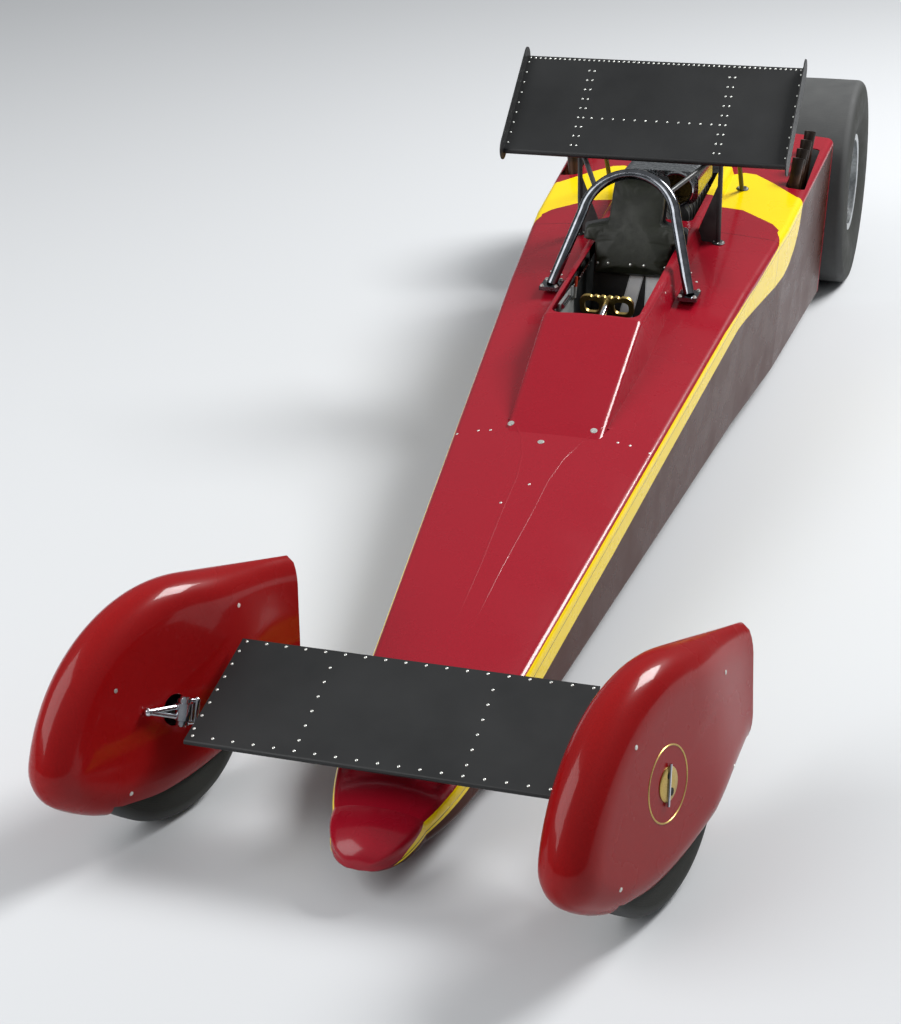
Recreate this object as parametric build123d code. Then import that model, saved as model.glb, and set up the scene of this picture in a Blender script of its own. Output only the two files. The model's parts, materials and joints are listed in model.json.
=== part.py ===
from build123d import *
import math
import os

# A drag racing car with an enclosed wedge body, steered front wheel pods and two wings.
# Millimetres. The car faces -Y, +X is its left side and the ground is z = 0.
# Sections below are written with y = 0 at the rear axle, and PLACE moves the whole car so that
# the middle of its box is the origin.
ORIGIN_BEHIND_FRONT = 2375
PLACE = Pos(0, ORIGIN_BEHIND_FRONT, 0)

# Running gear
WHEELBASE = 4730
FRONT_AXLE_Y = -WHEELBASE
REAR_TYRE_R, REAR_TYRE_W, REAR_RIM_R = 441, 380, 205
REAR_TYRE_OUTER_X = 588
FRONT_TYRE_R, FRONT_TYRE_W, FRONT_RIM_R = 300, 104, 190
FRONT_TRACK_HALF = 660
SCRUB = 105
CASTER_DEG = 25
INNER_LOCK_DEG, OUTER_LOCK_DEG = 22, 18
RUNNING_GAP = 0.05
AXLE_TUBE_R = 38
TOW_EYE_R, TOW_EYE_Y, TOW_EYE_THICK = 12, 128, 12

# Body shell
SKIN = 4
BELLY_Z = 75
SILL_R = 24
SHOULDER_R = 28
CROWN = 24
PANEL_SPLIT_DROP = 38
BELLY_SPLIT_Z = 112
DECK_SEAM_Y = -1560
WAIST_Y = -1420
NOSE_SEAM_Y = FRONT_AXLE_Y + 380
TYRE_TO_BODY = 39
BODY_REAR_Y = -REAR_TYRE_R - TYRE_TO_BODY
# y, shoulder height, half width at the shoulder, half width at the sill
HULL = (
    (NOSE_SEAM_Y, 235, 213, 225),
    (-2000, 605, 436, 394),
    (WAIST_Y, 672, 492, 450),
    (BODY_REAR_Y, 762, 530, 500),
)
# y, half width, underside, top
NOSE = (
    (NOSE_SEAM_Y, 219, BELLY_Z, 235),
    (FRONT_AXLE_Y + 110, 176, 78, 190),
    (FRONT_AXLE_Y - 90, 122, 86, 162),
    (FRONT_AXLE_Y - 200, 58, 102, 142),
)
# y, half width at the foot, half width at the top, top height
COWL = (
    (-3150, 172, 160, 424),
    (-2550, 222, 172, 668),
    (WAIST_Y, 245, 195, 738),
    (BODY_REAR_Y, 245, 205, 812),
)
COWL_R = 22
COCKPIT_FRONT_Y, COCKPIT_REAR_Y, COCKPIT_HALF_W = -2540, -1700, 152
ENGINE_BAY_FRONT_Y, ENGINE_BAY_REAR_Y, ENGINE_BAY_HALF_W = -1625, -760, 158
EXHAUST_SLOT_FRONT_Y, EXHAUST_SLOT_REAR_Y = -1060, -615
EXHAUST_SLOT_X, EXHAUST_SLOT_W = 456, 76

# Wings: rear edge, chord and pitch of the chord line, nose down
FRONT_WING_Y, FRONT_WING_Z, FRONT_WING_CHORD, FRONT_WING_PITCH = FRONT_AXLE_Y + 251, 408, 368, 18
FRONT_WING_THICK, FRONT_WING_REAR_HALF, FRONT_WING_FRONT_HALF = 26, 486, 514
PYLON_X, PYLON_THICK = 95, 6
REAR_WING_Y, REAR_WING_Z, REAR_WING_CHORD, REAR_WING_PITCH = -1431, 1271, 450, 36.5
REAR_WING_THICK, REAR_WING_HALF_SPAN = 42, 520
STRUT_X, STRUT_R, FRONT_STRUT_Y, REAR_STRUT_Y = 263, 9, -1650, -1130

# Cockpit and engine
HOOP_FOOT = (249, -2132, 623)
HOOP_TOP_Y, HOOP_TOP_Z = -1926, 983
HOOP_TUBE_R, HOOP_SHOULDER_X, HOOP_SHOULDER_SHARE = 19, 168, 0.66
FRAME_TUBE_R = 16
FRAME_FRONT_Y, FRAME_LOW_Z = NOSE_SEAM_Y + 50, BELLY_Z + SKIN + FRAME_TUBE_R + 13
TUB_HALF_W, TUB_FRONT_Y, TUB_REAR_Y, TUB_TOP_Z, SHEET = 172, -3300, -1690, 640, 3
TUB_FLOOR_Z = FRAME_LOW_Z + FRAME_TUBE_R
FIREWALL_Y, FIREWALL_HALF_W, FIREWALL_BASE_Z = -1660, 222, 130
COLUMN_FOOT, COLUMN_END, COLUMN_R = (0, -2620, 560), (0, -2340, 640), 12
DASH_Y = -2600
SEAT_FRONT, SEAT_BASE_DEG = (-2392, 171), -6.7
# straight run, turn after it in degrees with up as positive, radius of that turn
SEAT_RUNS = (
    (342, 88.7, 70),
    (413, -38.6, 562),
)
SEAT_HALF_W, SEAT_SHOULDER_HALF, SEAT_HEAD_HALF = 146, 190, 103
SEAT_SHOULDER_LOW, SEAT_SHOULDER_TOP, SEAT_TOP_Z = 722, 795, 935
PAD_LOW_Z, PAD_THICK = 606, 46
BELT_W, BELT_THICK = 56, 4
# Shoulder strap centres across the seat: where they leave the pad, at mid back and on the base
BELTS = (
    (17, -20, -50),
    (76, 74, 62),
)
BELT_MID_Z, BELT_LOW_Z, BELT_END_Y = 450, 230, -2340
ENGINE_FRONT_Y, ENGINE_LENGTH, ENGINE_HALF_W = -1540, 620, 205
ENGINE_BASE_Z, ENGINE_TOP_Z = 165, 590
BLOWER_HALF_W, BLOWER_FRONT_Y, BLOWER_REAR_Y, BLOWER_TOP_Z = 120, -1480, -1080, 745
PULLEY_R, PULLEY_LIP, UPPER_PULLEY_Z, LOWER_PULLEY_Z = 66, 9, 692, 330
PULLEY_FRONT_Y, PULLEY_REAR_Y, BELT_LOOP_THICK = -1614, -1560, 7
INJECTOR_HALF_W, INJECTOR_FRONT_Y, INJECTOR_REAR_Y, INJECTOR_TOP_Z = 150, -1470, -1180, 871
INTAKE_X, INTAKE_Z, INTAKE_R, INTAKE_WALL, INTAKE_FRONT_Y, INTAKE_END_Y = 72, 808, 58, 5, -1500, -1330
PIPE_R, PIPE_BEND_R = 22, 60
FIRST_PORT_Y, PORT_PITCH, PORT_Z = -1390, 120, 480
FIRST_TIP_Y, TIP_PITCH, FIRST_TIP_Z, TIP_RISE = -998, 107, 800, 8
PIPE_ELBOW_X, PIPE_ELBOW_AHEAD, PIPE_ELBOW_Z = 430, 40, 590
ROD_R, ROD_HOLE_R = 9, 15
ROD_FRONT, ROD_REAR = (150, FRONT_AXLE_Y + 58, 222), (178, FRAME_FRONT_Y - 16, 186)


def face(start, *steps):
    """Flat face from a start point and steps: a point is a line, a pair is an arc."""
    edges, here = [], start
    for step in steps:
        if isinstance(step[0], tuple):
            edges.append(ThreePointArc(here, step[0], step[1]))
            here = step[1]
        else:
            edges.append(Line(here, step))
            here = step
    if (Vector(*here) - Vector(*start)).length > 1e-6:
        edges.append(Line(here, start))
    return Face(Wire(edges))


def bar(start, end, radius):
    """Round bar between two points."""
    start, end = Vector(*start), Vector(*end)
    return Solid.make_cylinder(radius, (end - start).length, Plane(start, z_dir=end - start))


def knot(point, radius):
    """Ball that joins bars at a corner."""
    return Pos(*point) * Sphere(radius)


def frame_of_bars(bars, radius):
    """Bars fused into one welded frame, with a ball at each shared end."""
    ends = {tuple(p) for pair in bars for p in pair}
    welded = None
    for start, end in bars:
        piece = bar(start, end, radius)
        welded = piece if welded is None else welded + piece
    for point in ends:
        welded += knot(point, radius + 2)
    return welded


def both_sides(bars):
    """The bars and their mirror images across the centre plane."""
    mirrored = [tuple((-x, y, z) for x, y, z in pair) for pair in bars]
    return list(bars) + mirrored


def at(table, y, column):
    """Straight-line reading of one column of a table of stations at y."""
    for low, high in zip(table, table[1:]):
        if y <= high[0]:
            share = (y - low[0]) / (high[0] - low[0])
            return low[column] + share * (high[column] - low[column])
    return table[-1][column]


BEVEL = 1 - math.sqrt(0.5)
# Half width and height that hold the whole body
WIDE, TALL = 900, 1400


def hull_section(y, shoulder_z, shoulder_w, sill_w, inset):
    low, sill = BELLY_Z + inset, sill_w - inset
    side, top = shoulder_w - inset, shoulder_z - inset
    r, s = SILL_R - inset, SHOULDER_R - inset
    return face(
        (r - sill, y, low),
        (sill - r, y, low),
        ((sill - r * BEVEL, y, low + r * BEVEL), (sill, y, low + r)),
        (side, y, top - s),
        ((side - s * BEVEL, y, top - s * BEVEL), (side - s, y, top)),
        ((0, y, top + CROWN), (s - side, y, top)),
        ((s * BEVEL - side, y, top - s * BEVEL), (-side, y, top - s)),
        (-sill, y, low + r),
        ((r * BEVEL - sill, y, low + r * BEVEL), (r - sill, y, low)),
    )


def cowl_section(y, foot_w, top_w, top_z, inset):
    foot, side, top = foot_w - inset, top_w - inset, top_z - inset
    low = at(HULL, y, 1) - 90
    r = COWL_R - inset
    return face(
        (-foot, y, low),
        (foot, y, low),
        (side, y, top - r),
        ((side - r * BEVEL, y, top - r * BEVEL), (side - r, y, top)),
        ((0, y, top + 6), (r - side, y, top)),
        ((r * BEVEL - side, y, top - r * BEVEL), (-side, y, top - r)),
    )


def hull_solid(inset):
    hull = loft([hull_section(*row, inset) for row in HULL], ruled=True)
    cowl = loft([cowl_section(*row, inset) for row in COWL], ruled=True)
    return hull + cowl


def band(drop):
    """Everything above a line that runs a set drop below the shoulder."""
    faces = []
    for y, z, _, _ in HULL:
        low = z - drop
        faces.append(face((-WIDE, y, low), (WIDE, y, low), (WIDE, y, TALL), (-WIDE, y, TALL)))
    return loft(faces, ruled=True)


def slab(x0, x1, y0, y1, z0, z1):
    """Box between opposite corners."""
    centre = Pos((x0 + x1) / 2, (y0 + y1) / 2, (z0 + z1) / 2)
    return centre * Box(x1 - x0, y1 - y0, z1 - z0)


def body_panels():
    """The skin, cut into the panels that the real body comes apart in."""
    skin = hull_solid(0) - hull_solid(SKIN)
    cockpit = slab(-COCKPIT_HALF_W, COCKPIT_HALF_W, COCKPIT_FRONT_Y, COCKPIT_REAR_Y, 500, 1000)
    cockpit = fillet(cockpit.edges().filter_by(Axis.Z), 45)
    bay = slab(-ENGINE_BAY_HALF_W, ENGINE_BAY_HALF_W, ENGINE_BAY_FRONT_Y, ENGINE_BAY_REAR_Y, 500, 1000)
    bay = fillet(bay.edges().filter_by(Axis.Z), 30)
    skin = skin - cockpit - bay
    for side in (-1, 1):
        x = side * EXHAUST_SLOT_X
        slot = slab(x - EXHAUST_SLOT_W / 2, x + EXHAUST_SLOT_W / 2,
                    EXHAUST_SLOT_FRONT_Y, EXHAUST_SLOT_REAR_Y, 600, 1000)
        skin -= fillet(slot.edges().filter_by(Axis.Z), 20)
    top = skin & band(PANEL_SPLIT_DROP)
    lower = skin - band(PANEL_SPLIT_DROP)
    front_y = NOSE_SEAM_Y - 10
    foot = slab(-WIDE, WIDE, front_y, 0, 0, BELLY_SPLIT_Z)
    belly, sides = lower & foot, lower - foot
    ahead = slab(-WIDE, WIDE, front_y, DECK_SEAM_Y, 0, TALL)
    behind = slab(-WIDE, WIDE, DECK_SEAM_Y, 0, 0, TALL)
    left, right = slab(0, WIDE, front_y, 0, 0, TALL), slab(-WIDE, 0, front_y, 0, 0, TALL)
    return {
        "front_deck": top & ahead,
        "rear_deck": top & behind,
        "side_panel_left": sides & ahead & left,
        "side_panel_right": sides & ahead & right,
        "quarter_panel_left": sides & behind & left,
        "quarter_panel_right": sides & behind & right,
        "belly_pan": belly,
    }


def nose_section(y, half_w, low, top, inset):
    w, z0, z1 = half_w - inset, low + inset, top - inset
    r = min(SILL_R, (z1 - z0) * 0.3)
    mid = 0.6 * (z1 - z0) + z0
    crown = CROWN * half_w / NOSE[0][1]
    return face(
        (r - w, y, z0),
        (w - r, y, z0),
        ((w - r * BEVEL, y, z0 + r * BEVEL), (w, y, z0 + r)),
        (w - (half_w / NOSE[0][1]) * 4, y, mid),
        ((w - r * BEVEL - 2, y, z1 - r * BEVEL), (w - r, y, z1)),
        ((0, y, z1 + crown), (r - w, y, z1)),
        ((r * BEVEL + 2 - w, y, z1 - r * BEVEL), ((half_w / NOSE[0][1]) * 4 - w, y, mid)),
        (-w, y, z0 + r),
        ((r * BEVEL - w, y, z0 + r * BEVEL), (r - w, y, z0)),
    )


def nose_cone():
    """Hollow moulded nose, blunt at its tip, open where it slides over the body, with holes for the rods."""
    outer = loft([nose_section(*row, 0) for row in NOSE])
    inner = loft([nose_section(*row, SKIN + 2) for row in NOSE[:3]])
    nose = outer - inner
    for ends in both_sides([(ROD_FRONT, ROD_REAR)]):
        nose -= bar(*ends, ROD_HOLE_R)
    return nose


def wing_profile(wing_values, thickness, x):
    """Wing section: nearly flat on top and full below, from the rear edge forwards."""
    chord = wing_values[2]
    nose_r = thickness * 0.3

    def spot(t, n):
        return (x, *wing_spot(wing_values, t, n))

    return face(
        spot(0, 0),
        (spot(chord * 0.5, -thickness * 0.12), spot(chord - nose_r, 0)),
        (spot(chord, -nose_r), spot(chord - nose_r, -2 * nose_r)),
        (spot(chord * 0.62, -thickness), spot(0, -4)),
    )


def wing_spot(wing_values, t, n):
    """Point on a wing's section: t back from its rear edge along the chord and n off it."""
    rear_y, rear_z, _, pitch = wing_values
    lean = math.radians(pitch)
    return rear_y - math.cos(lean) * t - math.sin(lean) * n, rear_z - math.sin(lean) * t + math.cos(lean) * n


def wing(wing_values, thickness, half_span):
    profile = wing_profile(wing_values, thickness, -half_span)
    return Solid.extrude(profile, Vector(2 * half_span, 0, 0))


FRONT_WING = (FRONT_WING_Y, FRONT_WING_Z, FRONT_WING_CHORD, FRONT_WING_PITCH)
REAR_WING = (REAR_WING_Y, REAR_WING_Z, REAR_WING_CHORD, REAR_WING_PITCH)


def front_wing():
    """Riveted sheet wing over the nose, a little wider at its front edge."""
    blank = wing(FRONT_WING, FRONT_WING_THICK, FRONT_WING_FRONT_HALF)
    front_y = FRONT_WING_Y - FRONT_WING_CHORD * math.cos(math.radians(FRONT_WING_PITCH))
    plan = face(
        (-FRONT_WING_REAR_HALF, FRONT_WING_Y, 0),
        (FRONT_WING_REAR_HALF, FRONT_WING_Y, 0),
        (FRONT_WING_FRONT_HALF, front_y, 0),
        (-FRONT_WING_FRONT_HALF, front_y, 0),
    )
    return blank & Solid.extrude(plan, Vector(0, 0, TALL))


def rear_wing():
    """Riveted sheet wing above the rear deck."""
    return wing(REAR_WING, REAR_WING_THICK, REAR_WING_HALF_SPAN)


def rear_wing_endplates():
    """Slim plates with round ends, one flat against each end of the rear wing."""
    lean = math.radians(REAR_WING_PITCH)
    middle = wing_spot(REAR_WING, REAR_WING_CHORD / 2, 0)
    plates = []
    for side in (-1, 1):
        blank = SlotOverall(REAR_WING_CHORD + 60, 84)
        plane = Plane((side * REAR_WING_HALF_SPAN, *middle),
                      x_dir=(0, math.cos(lean), math.sin(lean)), z_dir=(side, 0, 0))
        plates.append(extrude(plane * blank, 4))
    return plates


def rear_wing_struts(hull, wing_solid, hoop):
    """Uprights on the rear deck under the wing's ribs; the front pair has gussets and braces to the hoop."""
    front_t = (REAR_WING_Y - FRONT_STRUT_Y) / math.cos(math.radians(REAR_WING_PITCH))
    _, front_top = wing_spot(REAR_WING, front_t, -REAR_WING_THICK / 2)
    rear_top = wing_spot(REAR_WING, 60, -6)
    foot_z = 640
    struts = []
    for side in (-1, 1):
        x = side * STRUT_X
        upright = bar((x, FRONT_STRUT_Y, foot_z), (x, FRONT_STRUT_Y, front_top), STRUT_R)
        gusset = face(
            (x, FRONT_STRUT_Y - 2, foot_z),
            (x, FRONT_STRUT_Y - 2, 900),
            (side * 185, FRONT_STRUT_Y - 2, 700),
            (side * 185, FRONT_STRUT_Y - 2, foot_z),
        )
        upright += Solid.extrude(gusset, Vector(0, 4, 0))
        upright += bar((x, FRONT_STRUT_Y, 1000), hoop_point(side, 0.853), STRUT_R)
        struts.append(upright - hull - wing_solid - hoop)
        struts.append(bar((x, REAR_STRUT_Y, 690), (x, *rear_top), STRUT_R) - hull - wing_solid)
    return struts


def hoop_point(side, share):
    """Point on the middle of the hoop's tube above its shoulder, at a share of its height."""
    rise_y, rise_z = HOOP_TOP_Y - HOOP_FOOT[1], HOOP_TOP_Z - HOOP_FOOT[2]
    length = math.hypot(rise_y, rise_z)
    cap = (1 - HOOP_SHOULDER_SHARE) * length
    bend_r = (HOOP_SHOULDER_X ** 2 + cap ** 2) / (2 * cap)
    above_centre = bend_r - (1 - share) * length
    x = math.sqrt(bend_r ** 2 - above_centre ** 2)
    return (side * x, HOOP_FOOT[1] + share * rise_y, HOOP_FOOT[2] + share * rise_z)


def roll_hoop():
    """Bent roll hoop that leans back over the driver, standing on two bolted feet."""
    foot = Vector(*HOOP_FOOT)
    rise = Vector(0, HOOP_TOP_Y - foot.Y, HOOP_TOP_Z - foot.Z) * HOOP_SHOULDER_SHARE
    shoulder = Vector(HOOP_SHOULDER_X, foot.Y + rise.Y, foot.Z + rise.Z)
    top = Vector(0, HOOP_TOP_Y, HOOP_TOP_Z)
    mirror_foot, mirror_shoulder = Vector(-foot.X, foot.Y, foot.Z), Vector(-shoulder.X, shoulder.Y, shoulder.Z)
    path = Wire([
        Line(foot, shoulder),
        ThreePointArc(shoulder, top, mirror_shoulder),
        Line(mirror_shoulder, mirror_foot),
    ])
    start = Plane(foot, z_dir=shoulder - foot)
    hoop = sweep(start * Circle(HOOP_TUBE_R), path=path, transition=Transition.ROUND)
    for side in (-1, 1):
        pad = Pos(side * foot.X, foot.Y, foot.Z - 4) * Box(70, 90, 14)
        hoop += pad
    return hoop


def chassis_frame():
    """Welded tube frame inside the skin: a truss a side, cross tubes coped between them and a tow eye."""
    rear_x, plate_front_y, plate_rear_y = 165, -70, 90
    low, rail = FRAME_LOW_Z, FRAME_TUBE_R
    rear_low, rear_high = REAR_TYRE_R - 141, REAR_TYRE_R + 119
    side_bars = [
        ((190, FRAME_FRONT_Y, low), (245, -2000, low)),
        ((245, -2000, low), (245, -720, low)),
        ((245, -720, low), (rear_x, -440, 170)),
        ((rear_x, -440, 170), (rear_x, plate_rear_y, rear_low)),
        ((170, FRAME_FRONT_Y, 190), (240, -2150, 520)),
        ((240, -2150, 520), (245, -720, 640)),
        ((245, -720, 640), (rear_x, -440, 640)),
        ((rear_x, -440, 640), (rear_x, plate_rear_y, rear_high)),
        ((rear_x, plate_rear_y, rear_low), (rear_x, plate_rear_y, rear_high)),
        ((190, FRAME_FRONT_Y, low), (170, FRAME_FRONT_Y, 190)),
        ((245, -2000, low), (240, -2150, 520)),
        ((245, -720, low), (245, -720, 640)),
        ((rear_x, -440, 170), (rear_x, -440, 640)),
    ]
    left = frame_of_bars(side_bars, rail)
    left += slab(rear_x - 6, rear_x + 6, plate_front_y, plate_rear_y, rear_low, rear_high)
    left -= bar((rear_x - 40, 0, REAR_TYRE_R), (rear_x + 40, 0, REAR_TYRE_R), AXLE_TUBE_R)
    right = mirror(left, about=Plane.YZ)
    # half width, y and height of each cross tube; the tow eye hangs on the last
    cross_tubes = (
        (190, FRAME_FRONT_Y, low),
        (245, -2000, low),
        (245, -720, low),
        (rear_x, plate_rear_y, rear_high),
        (rear_x, plate_rear_y, rear_low),
    )
    crosses = [bar((-x, y, z), (x, y, z), rail) - left - right for x, y, z in cross_tubes]
    eye = slab(-24, 24, plate_rear_y, TOW_EYE_Y + 26, rear_low - TOW_EYE_THICK / 2, rear_low + TOW_EYE_THICK / 2)
    eye -= bar((0, TOW_EYE_Y, rear_low - 20), (0, TOW_EYE_Y, rear_low + 20), TOW_EYE_R)
    crosses[-1] += eye
    return [left, right] + crosses


def cockpit_tub():
    """Folded sheet tub around the driver's legs and seat."""
    outer = slab(-TUB_HALF_W, TUB_HALF_W, TUB_FRONT_Y, TUB_REAR_Y, TUB_FLOOR_Z, TUB_TOP_Z)
    inner = slab(SHEET - TUB_HALF_W, TUB_HALF_W - SHEET, TUB_FRONT_Y + SHEET, TUB_REAR_Y - SHEET,
                 TUB_FLOOR_Z + SHEET, TALL)
    room = loft([hull_section(*row, SKIN + 8) for row in HULL], ruled=True)
    return (outer - inner) & room


def seat_line(lift):
    """Side view of the seat as corner and arc points, lifted off its sheet towards the driver."""
    y, z = SEAT_FRONT
    heading = math.radians(SEAT_BASE_DEG)

    def lifted():
        return y - lift * math.sin(heading), z + lift * math.cos(heading)

    points = [lifted()]
    for length, turn_deg, radius in SEAT_RUNS:
        y += length * math.cos(heading)
        z += length * math.sin(heading)
        points.append(lifted())
        signed_r = math.copysign(radius, turn_deg)
        middle_y, middle_z = y - signed_r * math.sin(heading), z + signed_r * math.cos(heading)
        for _ in range(2):
            heading += math.radians(turn_deg / 2)
            y = middle_y + signed_r * math.sin(heading)
            z = middle_z - signed_r * math.cos(heading)
            points.append(lifted())
    return points


def seat_layer(near, far):
    """Sheet between two lifts off the seat's line, wider than the seat."""
    x = -WIDE / 2
    front = [(x, *point) for point in seat_line(far)]
    back = [(x, *point) for point in reversed(seat_line(near))]
    profile = face(front[0], front[1], (front[2], front[3]), front[4], (front[5], front[6]),
                   back[0], (back[1], back[2]), back[3], (back[4], back[5]), back[6])
    return Solid.extrude(profile, Vector(WIDE, 0, 0))


def seat_outline(inset, low_z):
    """Front view of the seat above a height, drawn through the whole car."""
    waist, shoulder, head = SEAT_HALF_W - inset, SEAT_SHOULDER_HALF - inset, SEAT_HEAD_HALF - inset
    right_side = [
        (waist, low_z),
        (waist, SEAT_SHOULDER_LOW + inset),
        (shoulder, SEAT_SHOULDER_LOW + inset),
        (shoulder, SEAT_SHOULDER_TOP - 20 - inset),
        (head, SEAT_SHOULDER_TOP - inset),
        (head, SEAT_TOP_Z - inset),
    ]
    left_side = [(-x, z) for x, z in reversed(right_side)]
    sketch = make_face(Polyline(*right_side, *left_side, close=True))
    sketch = fillet(sketch.vertices().group_by(Axis.Y)[-1], 40)
    shoulders = [v for v in sketch.vertices() if SEAT_SHOULDER_LOW < v.Y < SEAT_SHOULDER_TOP + 2]
    sketch = fillet(shoulders, 10)
    return Pos(0, -2 * TALL, 0) * extrude(Plane.XZ * sketch, -2 * TALL)


def seat_shell():
    """Folded sheet bucket seat that leans back and widens behind the shoulders."""
    return seat_layer(-SHEET, 0) & seat_outline(0, 0)


def headrest_pad():
    """Upholstered panel on the upper seat back."""
    return seat_layer(0, PAD_THICK) & seat_outline(5, PAD_LOW_Z)


def harness_belts():
    """Two straps that hang from behind the pad, down the seat back and over the base."""
    webbing = seat_layer(0, BELT_THICK)
    straps = []
    for top_x, mid_x, low_x in BELTS:
        half = BELT_W / 2
        front_view = face(
            (top_x - half, BELT_END_Y, PAD_LOW_Z),
            (top_x + half, BELT_END_Y, PAD_LOW_Z),
            (mid_x + half, BELT_END_Y, BELT_MID_Z),
            (low_x + half, BELT_END_Y, BELT_LOW_Z),
            (low_x + half, BELT_END_Y, 0),
            (low_x - half, BELT_END_Y, 0),
            (low_x - half, BELT_END_Y, BELT_LOW_Z),
            (mid_x - half, BELT_END_Y, BELT_MID_Z),
        )
        straps.append(webbing & Solid.extrude(front_view, Vector(0, -BELT_END_Y, 0)))
    return straps


def steering_column():
    return bar(COLUMN_FOOT, COLUMN_END, COLUMN_R)


def steering_yoke():
    """Butterfly hand wheel cut from plate, with two grip holes and a scalloped upper edge."""
    outline = Pos(0, -12) * RectangleRounded(190, 84, 30)
    for side in (-1, 1):
        outline -= Pos(side * 52, -14) * RectangleRounded(52, 48, 18)
    outline -= Pos(0, -62) * Circle(26)
    for index in range(5):
        outline -= Pos(-48 + 24 * index, 34) * Circle(9)
    across = Plane(COLUMN_END, x_dir=(-1, 0, 0), z_dir=Vector(*COLUMN_END) - Vector(*COLUMN_FOOT))
    return extrude(across * outline, 12)


def dash_panel():
    """Dash across the tub with the column's hole, and a side console with a cylinder and a lever."""
    half_w = TUB_HALF_W - SHEET
    dash = slab(-half_w, half_w, DASH_Y, DASH_Y + 5, 470, 600) - bar(COLUMN_FOOT, COLUMN_END, COLUMN_R)
    console = slab(-half_w, 6 - half_w, -2350, -2150, 530, 630)
    console += bar((-157, -2340, 618), (-157, -2240, 618), 9)
    console += bar((6 - half_w, -2180, 590), (-152, -2180, 600), 6)
    console += bar((-152, -2180, 600), (-150, -2160, 668), 5)
    return [dash, console]


def firewall():
    return slab(-FIREWALL_HALF_W, FIREWALL_HALF_W, FIREWALL_Y - 2, FIREWALL_Y + 2, FIREWALL_BASE_Z, TUB_TOP_Z)


def engine_block():
    """Plain block with the section of a vee engine."""
    right_side = [
        (120, ENGINE_BASE_Z),
        (150, 330),
        (ENGINE_HALF_W, 400),
        (ENGINE_HALF_W, 525),
        (150, ENGINE_TOP_Z),
    ]
    section = right_side + [(-x, z) for x, z in reversed(right_side)]
    profile = face(*[(x, ENGINE_FRONT_Y, z) for x, z in section])
    return Solid.extrude(profile, Vector(0, ENGINE_LENGTH, 0))


def blower():
    """Ribbed supercharger on the engine, with its drive: two pulleys and the belt round them."""
    case = slab(-BLOWER_HALF_W + 6, BLOWER_HALF_W - 6, BLOWER_FRONT_Y, BLOWER_REAR_Y, ENGINE_TOP_Z, BLOWER_TOP_Z)
    case = fillet(case.edges().filter_by(Axis.Y), 45)
    ribs = 8
    rib = slab(-BLOWER_HALF_W, BLOWER_HALF_W, -6, 6, ENGINE_TOP_Z, BLOWER_TOP_Z)
    rib = fillet(rib.edges().filter_by(Axis.Y), 50)
    pitch = (BLOWER_REAR_Y - BLOWER_FRONT_Y - 12) / (ribs - 1)
    for index in range(ribs):
        case += Pos(0, BLOWER_FRONT_Y + 6 + pitch * index, 0) * rib
    case += bar((0, PULLEY_REAR_Y, UPPER_PULLEY_Z), (0, BLOWER_FRONT_Y + 5, UPPER_PULLEY_Z), 32)
    case += pulley(UPPER_PULLEY_Z)
    crank = pulley(LOWER_PULLEY_Z)
    crank += bar((0, PULLEY_REAR_Y, LOWER_PULLEY_Z), (0, ENGINE_FRONT_Y, LOWER_PULLEY_Z), 34)
    reach = UPPER_PULLEY_Z - LOWER_PULLEY_Z
    loop = SlotCenterToCenter(reach, 2 * (PULLEY_R + BELT_LOOP_THICK)) - SlotCenterToCenter(reach, 2 * PULLEY_R)
    plane = Plane((0, PULLEY_REAR_Y - 4, (UPPER_PULLEY_Z + LOWER_PULLEY_Z) / 2), x_dir=(0, 0, 1), z_dir=(0, -1, 0))
    return [case, crank, extrude(plane * loop, PULLEY_REAR_Y - PULLEY_FRONT_Y - 8)]


def pulley(z):
    """Pulley about the engine's long axis, with a lip at each side of its belt."""
    wheel = bar((0, PULLEY_FRONT_Y, z), (0, PULLEY_REAR_Y, z), PULLEY_R)
    for y in (PULLEY_FRONT_Y, PULLEY_REAR_Y - 3):
        wheel += bar((0, y, z), (0, y + 3, z), PULLEY_R + PULLEY_LIP)
    return wheel


def injector_hat():
    """Fuel injector body with two round forward intakes on top of the supercharger."""
    hat = slab(-INJECTOR_HALF_W, INJECTOR_HALF_W, INJECTOR_FRONT_Y, INJECTOR_REAR_Y, BLOWER_TOP_Z, INJECTOR_TOP_Z)
    hat = fillet(hat.edges().filter_by(Axis.Y), 40)
    for side in (-1, 1):
        x = side * INTAKE_X
        hat += bar((x, INTAKE_FRONT_Y, INTAKE_Z), (x, INJECTOR_FRONT_Y, INTAKE_Z), INTAKE_R + INTAKE_WALL)
    for side in (-1, 1):
        x = side * INTAKE_X
        hat -= bar((x, INTAKE_FRONT_Y, INTAKE_Z), (x, INTAKE_END_Y, INTAKE_Z), INTAKE_R)
    return hat


def exhaust_headers(engine, hull_skin):
    """Four pipes a side that leave the heads and rise out of the slots in the quarters."""
    pipes = []
    for side in (-1, 1):
        for index in range(4):
            port_y, tip_y = FIRST_PORT_Y + PORT_PITCH * index, FIRST_TIP_Y + TIP_PITCH * index
            port = (side * (ENGINE_HALF_W - PIPE_R), port_y, PORT_Z)
            elbow = (side * PIPE_ELBOW_X, tip_y - PIPE_ELBOW_AHEAD, PIPE_ELBOW_Z)
            tip = (side * EXHAUST_SLOT_X, tip_y, FIRST_TIP_Z + index * TIP_RISE)
            path = FilletPolyline(port, elbow, tip, radius=PIPE_BEND_R)
            start = Plane(port, z_dir=Vector(*elbow) - Vector(*port))
            pipes.append(sweep(start * Circle(PIPE_R), path=path) - engine - hull_skin)
    return pipes


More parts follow.
